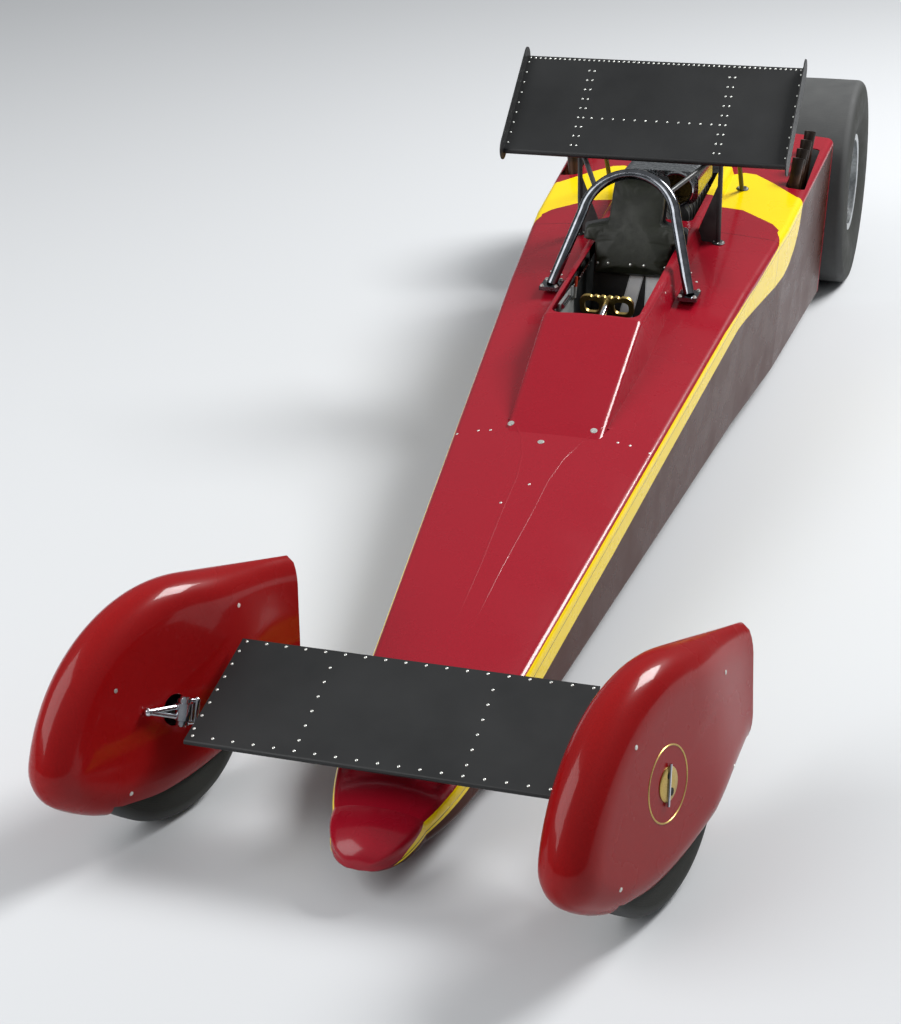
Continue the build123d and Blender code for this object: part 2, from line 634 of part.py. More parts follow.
def tyre(outer_r, rim_r, width, shoulder_r):
    """Slick tyre about the X axis, centred on its mid-plane."""
    half = width / 2
    bead = half * 0.86
    profile = face(
        (-bead, rim_r, 0),
        ((-half, (outer_r + rim_r) / 2, 0), (-half * 0.98, outer_r - shoulder_r, 0)),
        ((-half * 0.98 + shoulder_r * BEVEL, outer_r - shoulder_r * BEVEL, 0),
         (-half * 0.98 + shoulder_r, outer_r - shoulder_r * 0.04, 0)),
        ((0, outer_r, 0), (half * 0.98 - shoulder_r, outer_r - shoulder_r * 0.04, 0)),
        ((half * 0.98 - shoulder_r * BEVEL, outer_r - shoulder_r * BEVEL, 0),
         (half * 0.98, outer_r - shoulder_r, 0)),
        ((half, (outer_r + rim_r) / 2, 0), (bead, rim_r, 0)),
    )
    return revolve(profile, Axis.X, 360)


def rim(rim_r, width, disc_x, bore_r, hub_from, hub_to):
    """Wheel about the X axis: barrel with two flanges, a disc and a hub with its bore."""
    half = width / 2 * 0.86
    barrel = revolve(face(
        (-half, rim_r, 0), (-half, rim_r - 20, 0), (half, rim_r - 20, 0), (half, rim_r, 0),
    ), Axis.X, 360)
    disc = revolve(face(
        (disc_x - 5, bore_r, 0), (disc_x - 5, rim_r - 18, 0),
        (disc_x + 5, rim_r - 18, 0), (disc_x + 5, bore_r, 0),
    ), Axis.X, 360)
    hub = revolve(face(
        (hub_from, bore_r, 0), (hub_from, bore_r + 22, 0), (hub_to, bore_r + 22, 0), (hub_to, bore_r, 0),
    ), Axis.X, 360)
    return barrel + disc + hub


REAR_HUB_X = REAR_TYRE_OUTER_X - REAR_TYRE_W / 2
REAR_SHAFT_R = 20


def rear_wheel(side):
    place = Pos(side * REAR_HUB_X, 0, REAR_TYRE_R) * Rot(0, 0, 0 if side > 0 else 180)
    wheel = rim(REAR_RIM_R, REAR_TYRE_W, 20, REAR_SHAFT_R, -20, 60)
    return {"rear_rim": place * wheel,
            "rear_tyre": place * tyre(REAR_TYRE_R, REAR_RIM_R, REAR_TYRE_W, 34)}


def rear_axle_shaft():
    reach = REAR_HUB_X + 62
    return bar((-reach, 0, REAR_TYRE_R), (reach, 0, REAR_TYRE_R), REAR_SHAFT_R)


def rear_axle_housing():
    """Centre casting with two axle tubes and a bearing at each end."""
    reach = REAR_HUB_X - 60
    z = REAR_TYRE_R
    casting = bar((-95, 0, z), (95, 0, z), 125)
    casting = fillet(casting.edges(), 30)
    case = casting + bar((-reach, 0, z), (reach, 0, z), AXLE_TUBE_R)
    nose = bar((0, -190, z), (0, 0, z), 60)
    case += nose
    case -= bar((-reach, 0, z), (reach, 0, z), 28)
    for side in (-1, 1):
        ends = (side * (reach - 30), 0, z), (side * reach, 0, z)
        case += bar(*ends, 30) - bar(*ends, REAR_SHAFT_R + RUNNING_GAP)
    return case


def parachute_pack():
    pack = slab(-140, 140, 200, 420, REAR_TYRE_R - 41, REAR_TYRE_R + 179)
    return fillet(pack.edges(), 30)


def parachute_bracket():
    """Plate and arms behind the frame that hold the pack."""
    plate = slab(-120, 120, 192, 200, REAR_TYRE_R - 21, REAR_TYRE_R + 159)
    arms = [slab(side * 100 - 6, side * 100 + 6, 108, 194, REAR_TYRE_R + 99, REAR_TYRE_R + 135) for side in (-1, 1)]
    return plate + arms[0] + arms[1]


# Front axle: everything on a pod is drawn straight ahead about its kingpin, then turned
CASTER = math.radians(CASTER_DEG)
KINGPIN_DIR = Vector(0, math.sin(CASTER), math.cos(CASTER))
FRONT_SHOULDER_R = 22
KINGPIN_R, BOSS_R, BOSS_HALF = 11, 24, 22
SPINDLE_R = 16
EAR_OFFSET, EAR_HALF = BOSS_HALF + 7, 5
# Ball of the steering arm, ahead of the kingpin and above the wheel's centre
ARM_AHEAD, ARM_RISE, ARM_R, ARM_BALL_R = 97, 44, 7, 11
POD_HALF_W, POD_WALL, POD_EDGE_R = FRONT_TYRE_W / 2 + 24, 4, 36


def parked_lock(side):
    """Parked at full right lock: the right wheel is the inner one and turns further."""
    return OUTER_LOCK_DEG if side > 0 else INNER_LOCK_DEG


def kingpin_centre(side):
    """Kingpin centre at the height that stands the turned and leaning tyre on the ground."""
    lean = math.sin(CASTER) * math.sin(math.radians(parked_lock(side)))
    drop = FRONT_TYRE_R * math.sqrt(1 - lean * lean) + (FRONT_TYRE_W / 2 - FRONT_SHOULDER_R) * lean
    return Vector(side * (FRONT_TRACK_HALF - SCRUB), FRONT_AXLE_Y, drop + 0.8 - side * SCRUB * lean)


def parked(shape, side):
    """Put a piece drawn for the left side about its kingpin onto one side, at full right lock."""
    if side < 0:
        shape = mirror(shape, about=Plane.YZ)
    turned = shape.rotate(Axis((0, 0, 0), tuple(KINGPIN_DIR)), -parked_lock(side))
    return Pos(*kingpin_centre(side)) * turned


def along_kingpin(distance):
    return KINGPIN_DIR * distance


def knuckle():
    """Boss on the kingpin with a long spindle through the wheel and a forked arm to a ball on the pod."""
    boss = bar(along_kingpin(-BOSS_HALF), along_kingpin(BOSS_HALF), BOSS_R)
    spindle = bar((0, 0, 0), (SCRUB + POD_HALF_W - POD_WALL, 0, 0), SPINDLE_R)
    ball = Vector(SCRUB - POD_HALF_W - ARM_BALL_R, -ARM_AHEAD, ARM_RISE)
    arm = knot(tuple(ball), ARM_BALL_R)
    for end in (-1, 1):
        arm += bar(along_kingpin(end * (BOSS_HALF - ARM_R)), ball, ARM_R)
    hole = bar(along_kingpin(-BOSS_HALF - 5), along_kingpin(BOSS_HALF + 5), KINGPIN_R + RUNNING_GAP)
    return boss + spindle + arm - hole


def pod_outline(x):
    """Side view of the pod about the wheel centre: round nose, sloping back and cut tail."""
    r = FRONT_TYRE_R
    tail_top, back_end = (x, r + 280, r - 124), (x, r - 112, r - 2)
    back = Line(tail_top, back_end)
    brow = TangentArc(back_end, (x, -r - 109, 33), tangent=back % 1)
    chin = TangentArc(brow @ 1, (x, -r - 84, -98), tangent=brow % 1)
    keel = TangentArc(chin @ 1, (x, -60, 60 - r), tangent=chin % 1)
    sweep_up = TangentArc(keel @ 1, (x, r - 60, 86 - r), tangent=keel % 1)
    heel = Line(sweep_up @ 1, (x, r + 203, 165 - r))
    tail = Line(heel @ 1, tail_top)
    return Face(Wire([back, brow, chin, keel, sweep_up, heel, tail]))


def rounded_slice(outline, thickness, radius):
    """Outline given a thickness, with its long edges rounded and its tail left square."""
    block = Solid.extrude(outline, Vector(thickness, 0, 0))
    tail_y = block.bounding_box().max.Y - 70
    ends = outline.center().X, outline.center().X + thickness
    rim_edges = [e for e in block.edges()
                 if e.center().Y < tail_y and min(abs(e.center().X - x) for x in ends) < 0.01]
    return fillet(rim_edges, radius)


def wheel_pod():
    """Hollow moulded fairing round the front wheel, open underneath for the tyre."""
    outer = rounded_slice(pod_outline(0), 2 * POD_HALF_W, POD_EDGE_R)
    lining = pod_outline(POD_WALL).outer_wire().offset_2d(-POD_WALL, kind=Kind.INTERSECTION)
    room = rounded_slice(Face(lining), 2 * (POD_HALF_W - POD_WALL), POD_EDGE_R - POD_WALL)
    mouth_half, mouth_reach = FRONT_TYRE_W / 2 + 8, 0.8 * FRONT_TYRE_R
    room += slab(POD_HALF_W - mouth_half, POD_HALF_W + mouth_half, -mouth_reach, mouth_reach,
                 -FRONT_TYRE_R, -FRONT_TYRE_R / 2)
    room += bar((-20, 0, 0), (20, 0, 0), 42)
    return Pos(SCRUB - POD_HALF_W, 0, 0) * (outer - room)


def front_axle_beam():
    """Tube axle under the wing with a forked yoke and kingpin at each end."""
    beam_half, beam_y, beam_z, beam_r = 475, FRONT_AXLE_Y + 40, 236, 20
    link_in, link_back, link_r = 20, 36, 9
    square_back = Vector(0, math.cos(CASTER), -math.sin(CASTER))
    axle = bar((-beam_half, beam_y, beam_z), (beam_half, beam_y, beam_z), beam_r)
    for side in (-1, 1):
        centre = kingpin_centre(side)
        root = Vector(side * beam_half, beam_y, beam_z)
        pin_reach = along_kingpin(EAR_OFFSET + 2 * EAR_HALF)
        yoke = bar(centre - pin_reach, centre + pin_reach, KINGPIN_R)
        corners = []
        for end in (-1, 1):
            middle = centre + along_kingpin(end * EAR_OFFSET)
            corner = middle - Vector(side * link_in, 0, 0) + square_back * link_back
            yoke += bar(middle - along_kingpin(EAR_HALF), middle + along_kingpin(EAR_HALF), 18)
            yoke += bar(middle, corner, EAR_HALF) + knot(tuple(corner), link_r)
            corners.append(corner)
        yoke += bar(corners[0], corners[1], link_r) + bar(corners[0], root, link_r)
        axle += yoke + knot(tuple(root), beam_r)
    return axle


def front_wing_pylons(nose, wing_solid):
    """Two plates that stand on the nose and carry the front wing."""
    plates = []
    for side in (-1, 1):
        x = side * PYLON_X - PYLON_THICK / 2
        profile = face(
            (x, FRONT_AXLE_Y + 90, 184),
            (x, FRONT_AXLE_Y + 300, 214),
            (x, *wing_spot(FRONT_WING, 45, -4)),
            (x, *wing_spot(FRONT_WING, 150, -8)),
        )
        plates.append(Solid.extrude(profile, Vector(PYLON_THICK, 0, 0)) - nose - wing_solid)
    return plates


def radius_rods(frame, axle):
    """Rods that locate the front axle on the frame."""
    rods = []
    for ends in both_sides([(ROD_FRONT, ROD_REAR)]):
        rod = bar(*ends, ROD_R) - axle
        for piece in frame:
            rod -= piece
        rods.append(rod)
    return rods


def build():
    pieces = dict(body_panels())
    hull, engine, frame = hull_solid(0), engine_block(), chassis_frame()
    front, rear, hoop, axle, nose = front_wing(), rear_wing(), roll_hoop(), front_axle_beam(), nose_cone()
    nose_filled = loft([nose_section(*row, 1) for row in NOSE])
    pieces.update({
        "nose_cone": nose,
        "front_wing": front,
        "front_wing_pylons": front_wing_pylons(nose + nose_filled, front),
        "rear_wing": rear,
        "rear_wing_endplates": rear_wing_endplates(),
        "rear_wing_struts": rear_wing_struts(hull, rear, hoop),
        "roll_hoop": hoop,
        "chassis_frame": frame,
        "cockpit_tub": cockpit_tub(),
        "seat_shell": seat_shell(),
        "headrest_pad": headrest_pad(),
        "harness_belts": harness_belts(),
        "steering_column": steering_column(),
        "steering_yoke": steering_yoke(),
        "dash_panel": dash_panel(),
        "firewall": firewall(),
        "engine_block": engine,
        "blower": blower(),
        "injector_hat": injector_hat(),
        "exhaust_headers": exhaust_headers(engine, pieces["rear_deck"]),
        "front_axle_beam": axle,
        "front_radius_rods": radius_rods(frame, axle),
        "rear_axle_housing": rear_axle_housing(),
        "rear_axle_shaft": rear_axle_shaft(),
        "parachute_pack": parachute_pack(),
        "parachute_bracket": parachute_bracket(),
    })
    for name, side in (("left", 1), ("right", -1)):
        for piece, shape in rear_wheel(side).items():
            pieces[f"{piece}_{name}"] = shape
        hub = Pos(SCRUB, 0, 0)
        wheel = rim(FRONT_RIM_R, FRONT_TYRE_W, 24, SPINDLE_R + RUNNING_GAP, -16, 42)
        rubber = tyre(FRONT_TYRE_R, FRONT_RIM_R, FRONT_TYRE_W, FRONT_SHOULDER_R)
        pieces[f"front_rim_{name}"] = parked(hub * wheel, side)
        pieces[f"front_tyre_{name}"] = parked(hub * rubber, side)
        pieces[f"front_knuckle_{name}"] = parked(knuckle(), side)
        pieces[f"wheel_pod_{name}"] = parked(wheel_pod(), side)
    return pieces


def as_shape(piece):
    """One shape from a piece, or from a list of pieces that don't overlap."""
    if isinstance(piece, list):
        return Compound(children=[solid for shape in piece for solid in shape.solids()])
    return piece


os.makedirs("parts", exist_ok=True)
for node, piece in build().items():
    export_step(PLACE * as_shape(piece), f"parts/{node}.step")
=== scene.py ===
import json
import math

import bmesh
import bpy
from mathutils import Matrix, Vector
from mathutils.bvhtree import BVHTree
from mathutils.geometry import convex_hull_2d, intersect_line_line_2d


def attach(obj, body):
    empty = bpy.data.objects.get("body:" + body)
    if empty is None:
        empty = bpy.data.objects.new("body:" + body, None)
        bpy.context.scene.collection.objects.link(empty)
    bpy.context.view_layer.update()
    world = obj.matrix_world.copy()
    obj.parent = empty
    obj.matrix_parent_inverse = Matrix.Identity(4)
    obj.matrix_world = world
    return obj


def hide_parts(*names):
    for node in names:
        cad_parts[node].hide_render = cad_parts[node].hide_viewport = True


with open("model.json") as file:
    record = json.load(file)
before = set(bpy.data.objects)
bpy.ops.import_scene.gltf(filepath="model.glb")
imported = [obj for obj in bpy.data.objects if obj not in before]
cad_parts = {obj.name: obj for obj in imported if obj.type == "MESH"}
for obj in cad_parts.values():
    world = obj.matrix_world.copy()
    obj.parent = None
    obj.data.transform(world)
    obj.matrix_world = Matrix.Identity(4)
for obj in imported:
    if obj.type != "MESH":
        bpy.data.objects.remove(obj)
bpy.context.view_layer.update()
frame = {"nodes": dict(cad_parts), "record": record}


# Camera
# The photograph looks down on the front of the car from its left front corner, through a long lens.
CAMERA_PLACE = Vector((1.4746, -6.3896, 3.001))
CAMERA_TURN, CAMERA_DIP, CAMERA_ROLL = math.radians(17.766), math.radians(25.555), math.radians(-1.486)
FRAME_LONG_SIDE_PX, FOCAL_PX, SENSOR_MM, FAR_END = 1024, 2012.59, 36, 200


def put(name, data):
    """A new object in the scene, at the origin."""
    made = bpy.data.objects.new(name, data)
    bpy.context.scene.collection.objects.link(made)
    return made


ahead = Vector((-math.sin(CAMERA_TURN) * math.cos(CAMERA_DIP),
                math.cos(CAMERA_TURN) * math.cos(CAMERA_DIP),
                -math.sin(CAMERA_DIP)))
right = Vector((math.cos(CAMERA_TURN), math.sin(CAMERA_TURN), 0))
up = right.cross(ahead)
rolled_right = math.cos(CAMERA_ROLL) * right + math.sin(CAMERA_ROLL) * up
rolled_up = math.cos(CAMERA_ROLL) * up - math.sin(CAMERA_ROLL) * right
aim_turn = Matrix((rolled_right, rolled_up, -ahead)).transposed()
camera = put("camera", bpy.data.cameras.new("camera"))
camera.matrix_world = Matrix.Translation(CAMERA_PLACE) @ aim_turn.to_4x4()
camera.data.sensor_width = SENSOR_MM
camera.data.lens = FOCAL_PX * SENSOR_MM / FRAME_LONG_SIDE_PX
camera.data.clip_end = FAR_END
bpy.context.scene.camera = camera
bpy.context.scene.view_settings.view_transform = "Standard"


# Light and floor
# A pale studio floor under a large key panel behind the car's left side, with a wide fill in front.
# Each panel: name, place, what it points at, width and watts
PANELS = (("key_panel", (5.5, 5.0, 8.5), (0, 0.2, 0.4), 4.0, 1500),
          ("fill_panel", (-6.0, -6.0, 6.0), (0, -0.5, 0.3), 7.0, 650))
SKY_STRENGTH, SKY_PALE_FROM = 0.42, 0.75
FLOOR_HALF, FLOOR_ROUGHNESS = 30.0, 0.9


def colour(hex_code):
    """An sRGB hex colour as the linear RGBA that a shader takes."""
    parts = [int(hex_code[i:i + 2], 16) / 255 for i in (1, 3, 5)]
    return tuple(p / 12.92 if p <= 0.04045 else ((p + 0.055) / 1.055) ** 2.4 for p in parts) + (1.0,)


def feed(node, inputs):
    """Give a node's sockets their values, or the outputs that drive them.
    A node given as a value stands for its first output in use."""
    for socket, value in dict(inputs).items():
        if isinstance(value, bpy.types.Node):
            value = next(out for out in value.outputs if out.enabled)
        if isinstance(value, bpy.types.NodeSocket):
            node.id_data.links.new(value, node.inputs[socket])
        else:
            node.inputs[socket].default_value = value


def add(tree, kind, inputs=(), **settings):
    """One new node: settings are its own properties, and inputs go to its sockets."""
    node = tree.nodes.new(kind)
    for name, value in settings.items():
        setattr(node, name, value)
    feed(node, inputs)
    return node


def material(name):
    """An empty node material with its Principled shader and the point on the surface, in metres."""
    made = bpy.data.materials.new(name)
    made.use_nodes = True
    tree = made.node_tree
    return made, tree, tree.nodes["Principled BSDF"], add(tree, "ShaderNodeTexCoord").outputs["Object"]


for name, place, aim, width, watts in PANELS:
    lamp = bpy.data.lights.new(name, "AREA")
    lamp.shape = "SQUARE"
    lamp.size = width
    lamp.energy = watts
    turn = (Vector(aim) - Vector(place)).to_track_quat("-Z", "Y")
    put(name, lamp).matrix_world = Matrix.Translation(place) @ turn.to_matrix().to_4x4()

world = bpy.data.worlds.new("studio")
world.use_nodes = True
bpy.context.scene.world = world
sky = world.node_tree
direction = add(sky, "ShaderNodeTexCoord").outputs["Generated"]
glow = add(sky, "ShaderNodeValToRGB", {0: add(sky, "ShaderNodeSeparateXYZ", {0: direction}).outputs["Z"]})
glow.color_ramp.elements[0].color = colour("#8A8F96")
glow.color_ramp.elements[1].color = colour("#F4F6F8")
glow.color_ramp.elements[1].position = SKY_PALE_FROM
feed(sky.nodes["Background"], {"Color": glow, "Strength": SKY_STRENGTH})

floor_mesh = bpy.data.meshes.new("floor")
corners = [(x * FLOOR_HALF, y * FLOOR_HALF, 0) for x, y in ((-1, -1), (1, -1), (1, 1), (-1, 1))]
floor_mesh.from_pydata(corners, [], [(0, 1, 2, 3)])
floor = put("floor", floor_mesh)
paper, tree, shader, spot = material("matt_studio_floor")
feed(shader, {"Base Color": colour("#C9CBCD"), "Roughness": FLOOR_ROUGHNESS})
floor_mesh.materials.append(paper)


# Body shell
# The hand-laid shell comes apart in decks, sides, quarters and a belly pan over the tube frame.
# It is sprayed in candy red over brown sides, with a yellow stripe masked between, and lacquered.
# All places along the car and drops below the shoulder line are in metres.
CAR_SPAN = (-2.6, 1.95)
SHOULDER_HEIGHTS = ((-2.6, 0.13), (-2.555, 0.142), (-2.445, 0.162), (-2.245, 0.190), (-1.975, 0.235),
                    (0.375, 0.605), (0.955, 0.672), (1.895, 0.762), (1.95, 0.767))
# How far below the shoulder line the stripe starts and ends, along the car
STRIPE_UPPER = ((-2.6, 0.05), (-2.562, 0.043), (-2.443, 0.010), (-1.9, 0.008), (0.1, 0.014), (0.5, 0.030),
                (0.80, 0.020), (0.87, 0.0), (1.95, 0.0))
STRIPE_LOWER = ((-2.6, 0.04), (-2.562, 0.043), (-2.497, 0.044), (-2.42, 0.046), (-1.725, 0.088),
                (-1.1, 0.100), (0.275, 0.094), (0.55, 0.138), (0.825, 0.186), (0.95, 0.198), (1.05, 0.195),
                (1.14, 0.165), (1.19, 0.125), (1.215, 0.08), (1.225, 0.0), (1.95, 0.0))
# Where the band across the rear deck starts and ends, by distance from the centre line
HALF_SPAN = (0.0, 0.55)
BAND_FRONT = ((0.0, 1.05), (0.22, 1.045), (0.30, 1.040), (0.36, 0.998), (0.43, 0.950), (0.465, 0.900),
              (0.50, 0.850), (0.55, 0.80))
BAND_REAR = ((0.0, 1.37), (0.205, 1.38), (0.245, 1.41), (0.29, 1.405), (0.375, 1.335), (0.437, 1.275),
             (0.48, 1.235), (0.50, 1.19), (0.55, 1.12))
# The least and most that each curve may say
SHOULDER_RANGE, DROP_RANGE, BAND_RANGE = (0.1, 0.8), (0.0, 0.25), (0.7, 1.5)
SHOULDER_EDGE = 0.026
# The quarters' rear edge is turned in and sprayed red
REAR_TRIM_Y = 1.88
NOSE_JOINT_Y, DECK_JOINT_Y, SIDE_JOINT_DROP, JOINT_HALF_W = -1.975, 0.815, 0.038, 0.0011
FLAKES_PER_METRE = 900.0
RED_SHINE, BROWN_SHINE = {"Coat Weight": 0.3, "Specular IOR Level": 0.2}, 0.06


def finish(paint, *nodes):
    """Give carried-over CAD nodes one material."""
    for node in nodes:
        mesh = frame["nodes"][node].data
        mesh.materials.clear()
        mesh.materials.append(paint)


def profile_curve(tree, along, span, points, value_range):
    """A value read from straight runs between (place, value) points."""
    start, end = span
    low, high = value_range
    share = add(tree, "ShaderNodeMapRange", {0: along, 1: start, 2: end})
    curve = add(tree, "ShaderNodeFloatCurve", {1: share})
    line = curve.mapping.curves[0]
    scaled = [((y - start) / (end - start), (v - low) / (high - low)) for y, v in points]
    line.points[0].location = scaled[0]
    line.points[1].location = scaled[-1]
    for place in scaled[1:-1]:
        line.points.new(*place)
    for point in line.points:
        point.handle_type = "VECTOR"
    curve.mapping.update()
    return add(tree, "ShaderNodeMapRange", {0: curve, 3: low, 4: high})


def where(tree, *rules):
    """1 where the value of every (value, limit) rule is over its limit, else 0."""
    met = [add(tree, "ShaderNodeMath", {0: value, 1: limit}, operation="GREATER_THAN")
           for value, limit in rules]
    whole = met[0]
    for rule in met[1:]:
        whole = add(tree, "ShaderNodeMath", {0: whole, 1: rule}, operation="MULTIPLY")
    return whole


def candy_red(tree, spot, deep, bright):
    """Candy red over fine metal flake, between a deep and a bright tone."""
    flake = add(tree, "ShaderNodeTexNoise", {"Vector": spot, "Scale": FLAKES_PER_METRE, "Detail": 1.0})
    tint = add(tree, "ShaderNodeValToRGB", {0: flake})
    for element, position, tone in zip(tint.color_ramp.elements, (0.3, 0.7), (deep, bright)):
        element.position = position
        element.color = colour(tone)
    return tint


def lacquer_over(shader, spot):
    """Clear lacquer with a faint orange peel and polishing haze, over sprayed colour."""
    tree = shader.id_data
    haze = add(tree, "ShaderNodeTexNoise", {"Vector": spot, "Scale": 6.0, "Detail": 4.0})
    dull = add(tree, "ShaderNodeMapRange", {0: haze, 1: 0.35, 2: 0.7, 3: 0.24, 4: 0.34})
    peel = add(tree, "ShaderNodeTexNoise", {"Vector": spot, "Scale": 260.0, "Detail": 2.0})
    bump = add(tree, "ShaderNodeBump", {"Strength": 0.05, "Distance": 0.001, "Height": peel})
    feed(shader, {"Roughness": dull, "Coat Normal": bump, "Coat Roughness": 0.05, **RED_SHINE})


lacquer, tree, shader, spot = material("lacquered_candy_body_paint")
across, along, height = add(tree, "ShaderNodeSeparateXYZ", {0: spot}).outputs
off_centre = add(tree, "ShaderNodeMath", {0: across}, operation="ABSOLUTE")
shoulder = profile_curve(tree, along, CAR_SPAN, SHOULDER_HEIGHTS, SHOULDER_RANGE)
drop = add(tree, "ShaderNodeMath", {0: shoulder, 1: height}, operation="SUBTRACT")
stripe_top = profile_curve(tree, along, CAR_SPAN, STRIPE_UPPER, DROP_RANGE)
stripe_foot = profile_curve(tree, along, CAR_SPAN, STRIPE_LOWER, DROP_RANGE)
band_front = profile_curve(tree, off_centre, HALF_SPAN, BAND_FRONT, BAND_RANGE)
band_rear = profile_curve(tree, off_centre, HALF_SPAN, BAND_REAR, BAND_RANGE)

on_stripe = where(tree, (drop, stripe_top), (stripe_foot, drop))
on_band = where(tree, (along, band_front), (band_rear, along), (SHOULDER_EDGE, drop))
yellow_part = add(tree, "ShaderNodeMath", {0: on_stripe, 1: on_band}, operation="MAXIMUM")
stripe_or_edge = add(tree, "ShaderNodeMath", {0: stripe_foot, 1: SHOULDER_EDGE}, operation="MAXIMUM")
brown_part = where(tree, (drop, stripe_or_edge))
rear_edge = where(tree, (along, REAR_TRIM_Y), (drop, stripe_or_edge))
# Dark joint lines show where nose, decks and side panels butt together.
joints = 0.0
for value, joint_at in ((along, NOSE_JOINT_Y), (along, DECK_JOINT_Y), (drop, SIDE_JOINT_DROP)):
    off_joint = add(tree, "ShaderNodeMath", {0: value, 1: joint_at}, operation="SUBTRACT")
    off_joint = add(tree, "ShaderNodeMath", {0: off_joint}, operation="ABSOLUTE")
    on_joint = where(tree, (JOINT_HALF_W, off_joint))
    joints = add(tree, "ShaderNodeMath", {0: joints, 1: on_joint}, operation="MAXIMUM")

candy = candy_red(tree, spot, "#7C0A1A", "#A41226")
shown = candy
for part, paint in ((brown_part, colour("#3E170C")), (rear_edge, candy), (yellow_part, colour("#F4D400")),
                    (joints, colour("#1C0B0A"))):
    shown = add(tree, "ShaderNodeMix", {0: part, 6: shown, 7: paint}, data_type="RGBA")
feed(shader, {"Base Color": shown})
lacquer_over(shader, spot)
# The brown is a flatter coat than the candy red.
for socket, glossy in RED_SHINE.items():
    feed(shader, {socket: add(tree, "ShaderNodeMapRange", {0: brown_part, 3: glossy, 4: BROWN_SHINE})})
finish(lacquer, "front_deck", "rear_deck", "side_panel_left", "side_panel_right", "quarter_panel_left",
       "quarter_panel_right", "belly_pan", "nose_cone")


# Deck creases and fasteners
# A crease runs down the spine of the front deck and flares out to the cowl's foot, and quick-release
# fasteners hold the cowl and decks down. They are drawn on the skin by a plumb line from above.
SPINE_CREASE = ((0.024, -1.80), (0.032, -1.423), (0.045, -1.148), (0.050, -0.957), (0.067, -0.83),
                (0.10, -0.72), (0.150, -0.64), (0.20, -0.60))
CREASE_HALF_W, CREASE_RISE, CREASE_STEP = 0.004, 0.0012, 0.02
# Share of its half width and of its rise at each point of a crease's section
CREASE_SECTION = ((-1, -0.3), (-0.5, 0.6), (0, 1), (0.5, 0.6), (1, -0.3))
SHARP_ANGLE = math.radians(35)
DECK_FASTENERS = ((-0.148, -0.665), (0.125, -0.665), (-0.026, -0.751))
DECK_SCREWS = ((0.209, -0.693), (0.249, -0.696), (0.316, -0.711), (-0.209, -0.693), (-0.249, -0.696),
               (-0.316, -0.711), (-0.06, -1.10), (0.0, -0.99), (0.182, 0.156), (-0.182, 0.156))


def keep(name, mesh, paint, body="chassis"):
    """A finished piece from its mesh, riding on a body."""
    mesh.materials.clear()
    mesh.materials.append(paint)
    for face in mesh.polygons:
        face.use_smooth = True
    mesh.set_sharp_from_angle(angle=SHARP_ANGLE)
    piece = put(name, mesh)
    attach(piece, body)
    return piece


def mesh_of(name, form):
    """A mesh from a bmesh, with its faces turned outwards."""
    bmesh.ops.recalc_face_normals(form, faces=form.faces)
    mesh = bpy.data.meshes.new(name)
    form.to_mesh(mesh)
    form.free()
    return mesh


def join_rings(form, rings):
    """Faces from each ring of points to the next. A ring of one point closes a pole."""
    for a, b in zip(rings, rings[1:]):
        sides = max(len(a), len(b))
        for i in range(sides):
            j = (i + 1) % sides
            corners = (a[i % len(a)], a[j % len(a)], b[j % len(b)], b[i % len(b)])
            form.faces.new(tuple(dict.fromkeys(corners)))


def surface_of(*meshes):
    """One search tree over the surfaces of some meshes."""
    corners, faces = [], []
    for mesh in meshes:
        start = len(corners)
        corners += [v.co.copy() for v in mesh.vertices]
        faces += [[start + i for i in face.vertices] for face in mesh.polygons]
    return BVHTree.FromPolygons(corners, faces)


skins = surface_of(*(frame["nodes"][node].data for node in ("front_deck", "rear_deck", "nose_cone")))


def on_skin(x, y):
    """Point and normal of the body straight below a place."""
    place, normal, _, _ = skins.ray_cast(Vector((x, y, 2)), Vector((0, 0, -1)))
    return place, normal if normal.z > 0 else -normal


form = bmesh.new()
for side in (-1, 1):
    points = [(side * x, y) for x, y in SPINE_CREASE]
    steps = []
    for (x0, y0), (x1, y1) in zip(points, points[1:]):
        count = max(1, round(math.hypot(x1 - x0, y1 - y0) / CREASE_STEP))
        steps += [(x0 + (x1 - x0) * i / count, y0 + (y1 - y0) * i / count) for i in range(count)]
    steps.append(points[-1])
    last = len(steps) - 1
    rings = []
    for index, (x, y) in enumerate(steps):
        place, normal = on_skin(x, y)
        before, after = Vector(steps[max(index - 1, 0)]), Vector(steps[min(index + 1, last)])
        sideways = normal.cross((after - before).to_3d().normalized()).normalized()
        # It fades out over a quarter of its length at both ends.
        fade = min(1.0, 4 * min(index, last - index) / len(steps) + 0.05)
        rings.append([form.verts.new(place + sideways * CREASE_HALF_W * a + normal * CREASE_RISE * b * fade)
                      for a, b in CREASE_SECTION])
    join_rings(form, rings)
    form.faces.new(rings[0])
    form.faces.new(rings[-1][::-1])
keep("front_deck_creases", mesh_of("front_deck_creases", form), lacquer)


def baked(holder):
    """A plain mesh of an object with its modifiers applied."""
    return bpy.data.meshes.new_from_object(holder.evaluated_get(bpy.context.evaluated_depsgraph_get()))


